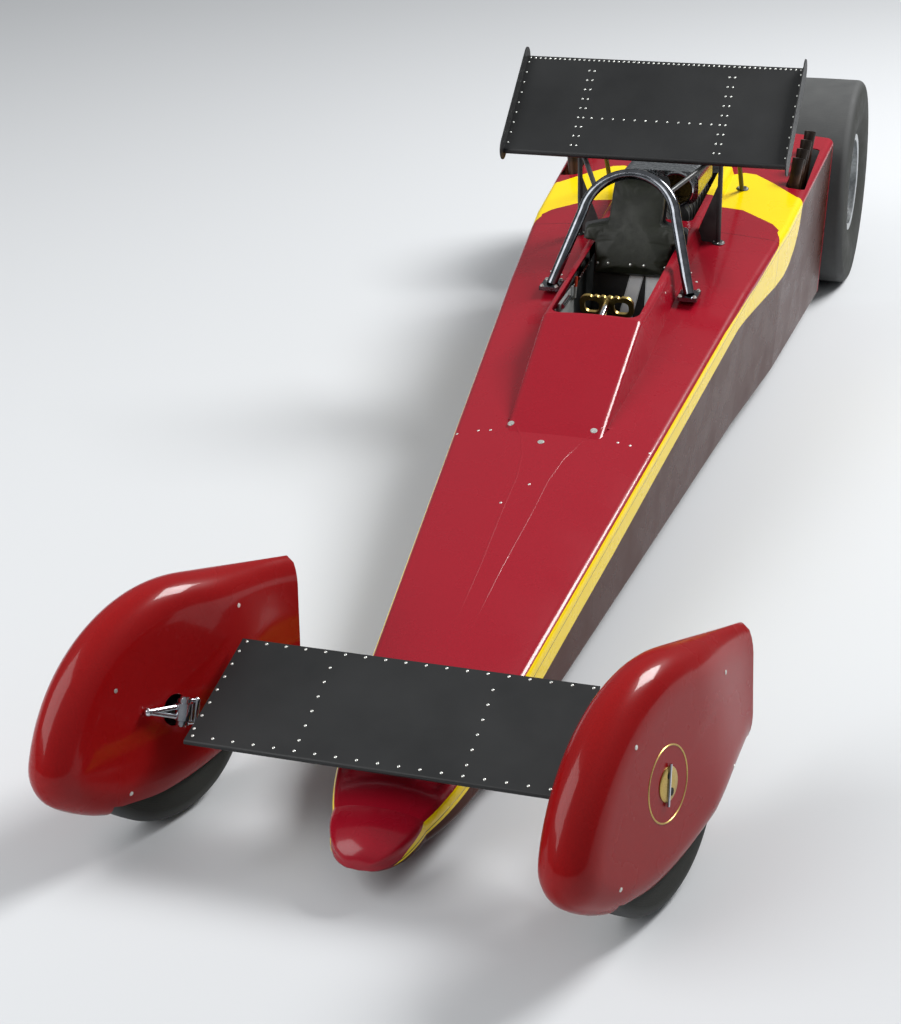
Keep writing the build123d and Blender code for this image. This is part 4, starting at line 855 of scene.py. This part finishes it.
tub_rivets = [(Vector((side * TUB_WALL_X, TUB_RIVETS_FROM + TUB_RIVET_PITCH * i, z)), Vector((-side, 0, 0)))
              for side in (-1, 1) for z in TUB_RIVET_Z for i in range(TUB_RIVETS)]
fix_heads("tub_rivets", DOME_RIVET, tub_rivets, 0.0032, 0.0016)

# One finish by place: crackle-black dash, grey console, bright cylinder on it and an orange grip on the lever.
dash_finish, tree, shader, spot = material("crackle_black_dash_and_grey_console")
across, along, height = add(tree, "ShaderNodeSeparateXYZ", {0: spot}).outputs
on_console = where(tree, (along, CONSOLE_FROM_Y))
on_cylinder = where(tree, (along, CONSOLE_FROM_Y), (across, CYLINDER_FROM_X), (CYLINDER_TO_Y, along))
on_grip = where(tree, (height, GRIP_FROM_Z), (along, GRIP_FROM_Y))
crackle = add(tree, "ShaderNodeTexVoronoi", {"Vector": spot, "Scale": 520.0}, feature="DISTANCE_TO_EDGE")
wear = add(tree, "ShaderNodeTexNoise", {"Vector": spot, "Scale": 45.0, "Detail": 5.0})
shown = add(tree, "ShaderNodeMix", {0: wear, 6: colour("#101112"), 7: colour("#222425")}, data_type="RGBA")
grey = add(tree, "ShaderNodeMix", {0: wear, 6: colour("#6F7373"), 7: colour("#A2A5A3")}, data_type="RGBA")
for part, paint in ((on_console, grey), (on_cylinder, colour("#D2D4D6")), (on_grip, colour("#C2381A"))):
    shown = add(tree, "ShaderNodeMix", {0: part, 6: shown, 7: paint}, data_type="RGBA")
rough = add(tree, "ShaderNodeMapRange", {0: on_cylinder, 3: 0.55, 4: 0.16})
bump = add(tree, "ShaderNodeBump", {"Strength": 0.35, "Distance": 0.0004, "Height": crackle})
feed(shader, {"Base Color": shown, "Metallic": on_cylinder, "Roughness": rough, "Normal": bump})
finish(dash_finish, "dash_panel")

gauge_black = grained("satin_black_gauge_face", ("#0E0F10", "#191A1B"), (0.35, 0.5), 80.0, metallic=0.0)
marking_white = grained("printed_white_marking", ("#D9D9D2", "#EFEFE8"), (0.5, 0.6), 500.0, metallic=0.0)
for name, x in (("left", GAUGE_X), ("right", -GAUGE_X)):
    centre = Vector((x, DASH_FACE_Y, GAUGE_Z))
    to_driver = Vector((0, 1, 0))
    bezel = ((-0.001, GAUGE_R - 0.001), (0.010, GAUGE_R - 0.001), (0.012, GAUGE_R + 0.001),
             (0.010, GAUGE_R + 0.005), (-0.001, GAUGE_R + 0.005), (-0.001, GAUGE_R - 0.001))
    turned_piece(f"gauge_bezel_{name}", chrome, "chassis", (bezel, centre, to_driver, 40))
    turned_piece(f"gauge_face_{name}", gauge_black, "chassis",
                 rod(centre - to_driver * 0.001, centre + to_driver * 0.005, GAUGE_R - 0.001, 40))
    marks = []
    for turn in (math.radians(FIRST_MARK_DEG + MARK_STEP_DEG * i) for i in range(MARKS)):
        spoke = Vector((math.cos(turn), 0, math.sin(turn))) * GAUGE_R
        mark_at = centre + to_driver * 0.0056
        marks.append(rod(mark_at + spoke * MARK_FROM, mark_at + spoke * MARK_TO, 0.0006, 6))
    needle_at = centre + to_driver * 0.0066
    marks.append(rod(needle_at, needle_at + Vector((-0.012, 0, 0.019)), 0.0007, 6))
    marks.append(rod(centre + to_driver * 0.005, centre + to_driver * 0.0085, 0.0028, 12))
    turned_piece(f"gauge_marks_{name}", marking_white, "chassis", *marks)
screws = [(Vector((side * x, DASH_FACE_Y - 0.0005, z)), Vector((0, 1, 0)))
          for side in (-1, 1) for x, z in DASH_SCREWS]
screws += [(Vector((CONSOLE_X, y, z)), Vector((1, 0, 0))) for y, z in CONSOLE_BOLTS]
fix_heads("dash_and_console_screws", HEX_BOLT, screws, 0.0045, 0.003)


# Seat, pad and belts
# The folded seat is sprayed black, with a stuffed leathercloth pad snapped on behind the driver's shoulders
# and head. Two white webbing belts come out from under the pad, down the seat back and over its base.
SIMULATED_FRAMES, MERGE_GAP, HELD_CELLS = 20, 1e-5, 1.6
# A row of snaps crosses the pad above its lower edge.
SNAP_X, SNAP_FROM = (-0.125, -0.082, 0.0, 0.05, 0.125), (0.10, 0.80)
SNAP_AIM = Vector((0, 0.33, -0.15)).normalized()
WEB_HALF_W, WEB_THICK, WEB_RIB_PITCH, STITCH_PITCH, STITCH_HALF_W = 0.026, 0.0026, 0.0018, 0.005, 0.0007
# Share of its half width and of its thickness at each point of a strap's section
WEB_RING = ((-1.0, 0.2), (-0.96, 0.8), (-0.85, 1.0), (0.0, 0.92), (0.85, 1.0), (0.96, 0.8), (1.0, 0.2),
            (0.96, 0.0), (0.0, 0.0), (-0.96, 0.0))
SEAT_FOCUS = Vector((0, 0.10, 0.60))
BELT_TOP_TURN, BELT_END_TURN, BELT_STEPS = 4.0, -98.0, 90
# Strap centres across the seat: at the pad, at mid back and on the base
BELT_RUNS = (("left", 0.076, 0.074, 0.062), ("right", 0.017, -0.020, -0.050))
PAD_LOW_Z, BELT_MID_Z, BELT_LOW_Z = 0.606, 0.450, 0.230
# Which station along the belt each slide is on, and its length
BELT_SLIDES = ((58, 0.040), (86, 0.046))

seat_paint = grained("black_hammered_seat_paint", ("#17181A", "#26282A"), (0.38, 0.55), 160.0, 3.0, 0.0, 0.0003)
finish(seat_paint, "seat_shell")


def stuffed(name, node, cell, shrink, pressure, most_move, rests_on):
    """A soft copy of a CAD node: evenly remeshed, swelled by a cloth simulation and held where it rests.
    The start is a little smaller than the node, and no point moves further than most_move."""
    form = bmesh.new()
    form.from_mesh(frame["nodes"][node].data)
    bmesh.ops.remove_doubles(form, verts=form.verts, dist=MERGE_GAP)
    middle = sum((v.co for v in form.verts), Vector()) / len(form.verts)
    for v in form.verts:
        v.co = middle + (v.co - middle) * shrink
    draft = put(name + "_draft", bpy.data.meshes.new(name))
    form.to_mesh(draft.data)
    form.free()
    cells = draft.modifiers.new("even_cells", "REMESH")
    cells.mode = "VOXEL"
    cells.voxel_size = cell
    even = baked(draft)
    draft.modifiers.clear()
    draft.data = even
    start = [v.co.copy() for v in even.vertices]
    support = surface_of(frame["nodes"][rests_on].data)
    held = draft.vertex_groups.new(name="held")
    near = [i for i, co in enumerate(start) if support.find_nearest(co)[3] < HELD_CELLS * cell]
    held.add(near, 1.0, "REPLACE")
    cloth = draft.modifiers.new("stuffing", "CLOTH")
    cloth.settings.use_pressure = True
    cloth.settings.uniform_pressure_force = pressure
    cloth.settings.vertex_group_mass = "held"
    cloth.settings.effector_weights.gravity = 0
    for step in range(SIMULATED_FRAMES):
        bpy.context.scene.frame_set(step + 1)
    swollen = baked(draft)
    draft.modifiers.clear()
    for vertex, moved, was in zip(even.vertices, swollen.vertices, start):
        shift = moved.co - was
        vertex.co = was + shift * min(1.0, most_move / max(shift.length, 1e-9))
    bpy.context.scene.frame_set(1)
    rounding = draft.modifiers.new("rounding", "SUBSURF")
    rounding.levels = rounding.render_levels = 1
    made = baked(draft)
    bpy.data.objects.remove(draft)
    return made


# Black leathercloth has a fine pebbled grain, and creases that shine where it is rubbed.
leathercloth, tree, shader, spot = material("black_leathercloth")
pebble = add(tree, "ShaderNodeTexVoronoi", {"Vector": spot, "Scale": 620.0})
crease = add(tree, "ShaderNodeTexNoise", {"Vector": spot, "Scale": 26.0, "Detail": 6.0})
tint = add(tree, "ShaderNodeMix", {0: crease, 6: colour("#0E1009"), 7: colour("#262A1B")}, data_type="RGBA")
rough = add(tree, "ShaderNodeMapRange", {0: crease, 1: 0.3, 2: 0.7, 3: 0.58, 4: 0.42})
relief = add(tree, "ShaderNodeMath", {0: crease, 1: 4.0, 2: pebble}, operation="MULTIPLY_ADD")
bump = add(tree, "ShaderNodeBump", {"Strength": 0.3, "Distance": 0.001, "Height": relief})
feed(shader, {"Base Color": tint, "Roughness": rough, "Normal": bump})

pad_mesh = stuffed("stuffed_headrest_pad", "headrest_pad", 0.006, 0.975, 4.0, 0.010, "seat_shell")
pad = keep("stuffed_headrest_pad", pad_mesh, leathercloth)
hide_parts("headrest_pad")

pad_surface = surface_of(pad.data)
hits = [pad_surface.ray_cast(Vector((x, *SNAP_FROM)), SNAP_AIM) for x in SNAP_X]
snaps = [(place, normal if normal.y < 0 else -normal) for place, normal, _, _ in hits if place]
fix_heads("pad_snaps", DOME_RIVET, snaps, 0.0055, 0.0026)

# Webbing is woven white polyester: ribs across it, rows of stitches along both selvedges, and bluish grey
# patches of painted shade.
webbing, tree, shader, spot = material("woven_white_webbing")
strap_uv = add(tree, "ShaderNodeTexCoord").outputs["UV"]
across, along, _ = add(tree, "ShaderNodeSeparateXYZ", {0: strap_uv}).outputs
off_middle = add(tree, "ShaderNodeMath", {0: across}, operation="ABSOLUTE")
from_stitch = add(tree, "ShaderNodeMath", {0: off_middle, 1: WEB_HALF_W * 0.86}, operation="SUBTRACT")
from_stitch = add(tree, "ShaderNodeMath", {0: from_stitch}, operation="ABSOLUTE")
stitch = where(tree, (STITCH_HALF_W, from_stitch), (wave(tree, along, STITCH_PITCH), -0.4))
# Bluish grey patches over the white are painted shade.
painted_blue_shade = add(tree, "ShaderNodeTexNoise", {"Vector": spot, "Scale": 22.0, "Detail": 6.0})
shown = add(tree, "ShaderNodeMix", {0: painted_blue_shade, 6: colour("#D5DAE0"), 7: colour("#FBFBF8")}, data_type="RGBA")
shown = add(tree, "ShaderNodeMix", {0: stitch, 6: shown, 7: colour("#8D949B")}, data_type="RGBA")
ribs = wave(tree, along, WEB_RIB_PITCH)
relief = add(tree, "ShaderNodeMath", {0: stitch, 1: 2.0, 2: ribs}, operation="MULTIPLY_ADD")
bump = add(tree, "ShaderNodeBump", {"Strength": 0.4, "Distance": 0.0003, "Height": relief})
feed(shader, {"Base Color": shown, "Normal": bump, "Roughness": 0.8, "Sheen Weight": 0.2})


def ribbon(name, stations, half_w, thick, paint):
    """A flat strap through (place, sideways, normal) stations, with its own UV in metres."""
    form = bmesh.new()
    uv = form.loops.layers.uv.verify()
    rings, runs = [], [0.0]
    for index, (place, sideways, normal) in enumerate(stations):
        if index:
            runs.append(runs[-1] + (place - stations[index - 1][0]).length)
        rings.append([form.verts.new(place + sideways * half_w * a + normal * thick * b) for a, b in WEB_RING])
    for index in range(len(rings) - 1):
        for i in range(len(WEB_RING)):
            j = (i + 1) % len(WEB_RING)
            corners = ((index, i), (index, j), (index + 1, j), (index + 1, i))
            made = form.faces.new([rings[station][k] for station, k in corners])
            for loop, (station, k) in zip(made.loops, corners):
                loop[uv].uv = (WEB_RING[k][0] * half_w, runs[station])
    form.faces.new(rings[0])
    form.faces.new(rings[-1][::-1])
    return keep(name, mesh_of(name, form), paint)


def bars_across(station, lift, length, half_w, radius, side_radius, crossings, overrun):
    """The bars of a buckle that lies on a strap: some across it and one along each edge."""
    place, sideways, normal = station
    along_strap = sideways.cross(normal).normalized() * length
    sideways = sideways * half_w
    middle = place + normal * lift
    bars = [(middle + along_strap * off, sideways, radius) for off in crossings]
    bars += [(middle + sideways * edge, along_strap * overrun, side_radius) for edge in (-1, 1)]
    return [rod(centre - half, centre + half, bar_r) for centre, half, bar_r in bars]


seat_surface = surface_of(frame["nodes"]["seat_shell"].data)
for name, top_x, mid_x, low_x in BELT_RUNS:
    stations = []
    for i in range(BELT_STEPS + 1):
        turn = math.radians(BELT_TOP_TURN + (BELT_END_TURN - BELT_TOP_TURN) * i / BELT_STEPS)
        aim = Vector((0, math.cos(turn), math.sin(turn)))
        place, normal, _, _ = seat_surface.ray_cast(SEAT_FOCUS, aim)
        normal = normal if normal.dot(aim) < 0 else -normal
        upper = min(max((place.z - BELT_MID_Z) / (PAD_LOW_Z - BELT_MID_Z), 0.0), 1.0)
        lower = min(max((BELT_MID_Z - place.z) / (BELT_MID_Z - BELT_LOW_Z), 0.0), 1.0)
        x = mid_x + (top_x - mid_x) * upper + (low_x - mid_x) * lower
        # The strap lies a little slack, so it lifts off the seat in slow waves.
        slack = 0.0009 * (1 + math.sin(i * 0.31 + 9 * top_x))
        stations.append((Vector((x, place.y, place.z)) + normal * (0.0004 + slack), Vector((1, 0, 0)), normal))
    belt = ribbon(f"webbing_belt_{name}", stations, WEB_HALF_W, WEB_THICK, webbing)
    if name == "left":
        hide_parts("harness_belts")
    # Two three-bar slides take up the slack, one part way down and one near the low end.
    bars = [bar for station, length in BELT_SLIDES for bar in
            bars_across(stations[station], WEB_THICK + 0.003, length, WEB_HALF_W + 0.006, 0.0028, 0.0030,
                        (-0.5, 0.0, 0.5), 0.55)]
    turned_piece(f"belt_slides_{name}", chrome, "chassis", *bars)


# Engine
# A supercharged engine drives through the live rear axle: an enamelled block, a cast supercharger with its
# rubber drive belt, an injector with two round intakes, and eight heat-burnt pipes.
BELT_FROM_Y, BELT_TO_Y, PULLEY_R, LOW_PULLEY_Z, HIGH_PULLEY_Z = 0.7645, 0.8115, 0.066, 0.330, 0.692
INTAKE_X, INTAKE_Z, INTAKE_R, INTAKE_FRONT_Y = 0.072, 0.808, 0.058, 0.875
BUTTERFLY_Y, BUTTERFLY_THICK, SPINDLE_R = 0.985, 0.003, 0.0045
# Where the pipes change from straw near the head to soot, and their tips
HEAT_FROM_Z, HEAT_TO_Z = 0.47, 0.83
FIRST_TIP, TIP_PITCH, TIP_RISE = (0.456, 1.377, 0.800), 0.107, 0.008
ELBOW_TO_TIP = Vector((0.026, 0.040, 0.210))
LIP_PROFILE = ((-0.022, 0.0223), (0.012, 0.0235), (0.0135, 0.0228), (0.012, 0.0205), (0.0005, 0.0200))
MOUTH_PROFILE = ((0.0006, 0.0204), (0.0006, 0.0))

block_enamel = grained("grey_enamelled_cast_iron", ("#2C2E30", "#45484A"), (0.4, 0.62), 60.0, 5.0, 0.2, 0.0006)
finish(block_enamel, "engine_block")

# One finish by place: cast aluminium case, and rubber where it is the belt round the two pulleys.
blower_finish, tree, shader, spot = material("cast_aluminium_supercharger_and_rubber_belt")
across, along, height = add(tree, "ShaderNodeSeparateXYZ", {0: spot}).outputs
over_top = add(tree, "ShaderNodeMath", {0: height, 1: HIGH_PULLEY_Z}, operation="SUBTRACT")
under_foot = add(tree, "ShaderNodeMath", {0: LOW_PULLEY_Z, 1: height}, operation="SUBTRACT")
past_ends = add(tree, "ShaderNodeMath", {0: over_top, 1: under_foot}, operation="MAXIMUM")
past_ends = add(tree, "ShaderNodeMath", {0: past_ends, 1: 0.0}, operation="MAXIMUM")
from_line = add(tree, "ShaderNodeCombineXYZ", {0: across, 2: past_ends})
belt_reach = add(tree, "ShaderNodeVectorMath", {0: from_line}, operation="LENGTH")
on_belt = where(tree, (along, BELT_FROM_Y), (BELT_TO_Y, along), (belt_reach, PULLEY_R - 0.0004))
casting = add(tree, "ShaderNodeTexNoise", {"Vector": spot, "Scale": 240.0, "Detail": 4.0})
cast = add(tree, "ShaderNodeMix", {0: casting, 6: colour("#8B8D8C"), 7: colour("#B9BBB8")}, data_type="RGBA")
rubber = add(tree, "ShaderNodeMix", {0: casting, 6: colour("#141414"), 7: colour("#242424")}, data_type="RGBA")
shown = add(tree, "ShaderNodeMix", {0: on_belt, 6: cast, 7: rubber}, data_type="RGBA")
metal = add(tree, "ShaderNodeMath", {0: 1.0, 1: on_belt}, operation="SUBTRACT")
rough = add(tree, "ShaderNodeMapRange", {0: on_belt, 3: 0.42, 4: 0.8})
bump = add(tree, "ShaderNodeBump", {"Strength": 0.35, "Distance": 0.0006, "Height": casting})
feed(shader, {"Base Color": shown, "Metallic": metal, "Roughness": rough, "Normal": bump})
finish(blower_finish, "blower")

polished_cast = grained("polished_cast_aluminium", ("#8E9294", "#BFC2C3"), (0.16, 0.34), 70.0, 4.0,
                        relief=0.0002)
finish(polished_cast, "injector_hat")
throttle_brass = grained("dull_brass_butterfly", ("#4A3C22", "#7A6436"), (0.4, 0.6), 120.0)

# Burnt steel: straw and brown near the head, dark and sooty towards the open tip.
burnt, tree, shader, spot = material("burnt_steel_header_pipe")
height = add(tree, "ShaderNodeSeparateXYZ", {0: spot}).outputs["Z"]
blotch = add(tree, "ShaderNodeTexNoise", {"Vector": spot, "Scale": 17.0, "Detail": 7.0, "Roughness": 0.65})
climb = add(tree, "ShaderNodeMapRange", {0: height, 1: HEAT_FROM_Z, 2: HEAT_TO_Z})
shifted = add(tree, "ShaderNodeMath", {0: blotch, 1: 0.35, 2: climb}, operation="MULTIPLY_ADD")
heat = add(tree, "ShaderNodeValToRGB", {0: shifted})
heat.color_ramp.elements[0].position = 0.15
heat.color_ramp.elements[0].color = colour("#7C6A4A")
heat.color_ramp.elements[1].position = 1.15
heat.color_ramp.elements[1].color = colour("#2E2621")
for position, tone in ((0.4, "#4C4F66"), (0.6, "#6B4A33"), (0.95, "#4A3428")):
    heat.color_ramp.elements.new(position).color = colour(tone)
rough = add(tree, "ShaderNodeMapRange", {0: blotch, 1: 0.3, 2: 0.7, 3: 0.36, 4: 0.6})
bump = add(tree, "ShaderNodeBump", {"Strength": 0.25, "Distance": 0.0006, "Height": blotch})
feed(shader, {"Base Color": heat, "Roughness": rough, "Normal": bump, "Metallic": 0.75})
finish(burnt, "exhaust_headers")
# Black for the disc in each pipe: real soot, and painted shade of the deep bore.
soot_and_bore_shade = grained("dry_soot_and_painted_bore_shade", ("#090807", "#15120F"), (0.85, 0.95), 200.0, metallic=0.0, relief=0.0003)

for name, side in (("left", 1), ("right", -1)):
    rim = ((-0.002, INTAKE_R), (0.003, INTAKE_R), (0.0055, INTAKE_R + 0.002), (0.006, INTAKE_R + 0.005),
           (0.003, INTAKE_R + 0.0075), (-0.002, INTAKE_R + 0.0075), (-0.002, INTAKE_R))
    mouth = Vector((side * INTAKE_X, INTAKE_FRONT_Y, INTAKE_Z))
    turned_piece(f"intake_rim_{name}", chrome, "chassis", (rim, mouth, (0, -1, 0), 64))
    flap = Vector((side * INTAKE_X, BUTTERFLY_Y, INTAKE_Z))
    flap_front = flap + Vector((0, -1, 0.12)).normalized() * BUTTERFLY_THICK
    spindle, half_spindle = flap - Vector((0, 0.002, 0)), Vector((INTAKE_R, 0, 0))
    turned_piece(f"intake_butterfly_{name}", throttle_brass, "chassis",
                 rod(flap, flap_front, INTAKE_R - 0.001, 56),
                 rod(spindle - half_spindle, spindle + half_spindle, SPINDLE_R))

# Each pipe ends in a flared lip. A black disc a little way down it is soot and painted shade of the bore.
for name, side in (("left", 1), ("right", -1)):
    tips = []
    for i in range(4):
        x, y, z = FIRST_TIP
        aim = (side * ELBOW_TO_TIP.x, ELBOW_TO_TIP.y, ELBOW_TO_TIP.z + TIP_RISE * i)
        tips.append(((side * x, y + TIP_PITCH * i, z + TIP_RISE * i), aim, 36))
    turned_piece(f"header_lips_{name}", burnt, "chassis", *((LIP_PROFILE, *tip) for tip in tips))
    turned_piece(f"header_mouths_{name}", soot_and_bore_shade, "chassis", *((MOUTH_PROFILE, *tip) for tip in tips))


# Axles and steering
# The front tube axle, its rods, kingpins and knuckles are chromed. The rear shaft and the parachute's plate
# are machined from steel.
machined_steel = grained("machined_alloy_steel", ("#7D8184", "#A9ACAE"), (0.24, 0.4), 110.0, 4.0, relief=0.0001)
finish(chrome, "front_axle_beam", "front_radius_rods", "front_knuckle_left", "front_knuckle_right")
finish(machined_steel, "rear_axle_shaft", "parachute_bracket")


# Parachute
# The braking parachute is packed in a canvas bag that rests on a plate behind the rear axle. Two buckled
# straps go round it.
WEAVE_PITCH = 0.0016
PACK_MIDDLE_Y, PACK_MIDDLE_Z, STRAP_X = 2.685, 0.510, 0.075
STRAP_STEPS, STRAP_TOP_DEG, STRAP_SWEEP_DEG, STRAP_HALF_W, STRAP_THICK = 80, 125, 250, 0.019, 0.0024

canvas, tree, shader, spot = material("olive_black_canvas")
threads = [wave(tree, part, WEAVE_PITCH) for part in add(tree, "ShaderNodeSeparateXYZ", {0: spot}).outputs]
woven = threads[0]
for thread in threads[1:]:
    woven = add(tree, "ShaderNodeMath", {0: woven, 1: thread}, operation="MAXIMUM")
fade = add(tree, "ShaderNodeTexNoise", {"Vector": spot, "Scale": 11.0, "Detail": 6.0})
tint = add(tree, "ShaderNodeMix", {0: fade, 6: colour("#1D1F1C"), 7: colour("#34372F")}, data_type="RGBA")
relief = add(tree, "ShaderNodeMath", {0: fade, 1: 5.0, 2: woven}, operation="MULTIPLY_ADD")
bump = add(tree, "ShaderNodeBump", {"Strength": 0.4, "Distance": 0.0008, "Height": relief})
feed(shader, {"Base Color": tint, "Normal": bump, "Roughness": 0.88})
strap_black = grained("woven_black_strap", ("#151617", "#2A2B2C"), (0.7, 0.85), 500.0, 3.0, 0.0, 0.0004)

pack_mesh = stuffed("packed_parachute_bag", "parachute_pack", 0.008, 0.955, 5.0, 0.016, "parachute_bracket")
pack = keep("packed_parachute_bag", pack_mesh, canvas)
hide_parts("parachute_pack")

pack_surface = surface_of(pack.data)
for name, x in (("left", STRAP_X), ("right", -STRAP_X)):
    stations = []
    for i in range(STRAP_STEPS + 1):
        turn = math.radians(STRAP_TOP_DEG - STRAP_SWEEP_DEG * i / STRAP_STEPS)
        aim = Vector((0, math.cos(turn), math.sin(turn)))
        place, normal, _, _ = pack_surface.ray_cast(Vector((x, PACK_MIDDLE_Y, PACK_MIDDLE_Z)), aim)
        normal = normal if normal.dot(aim) > 0 else -normal
        stations.append((place + normal * 0.0006, Vector((1, 0, 0)), normal))
    ribbon(f"parachute_strap_{name}", stations, STRAP_HALF_W, STRAP_THICK, strap_black)
    bars = bars_across(stations[STRAP_STEPS // 2], 0.0055, 0.016, 0.024, 0.0022, 0.0024, (-1, 0, 1), 1.125)
    turned_piece(f"parachute_buckle_{name}", chrome, "chassis", *bars)
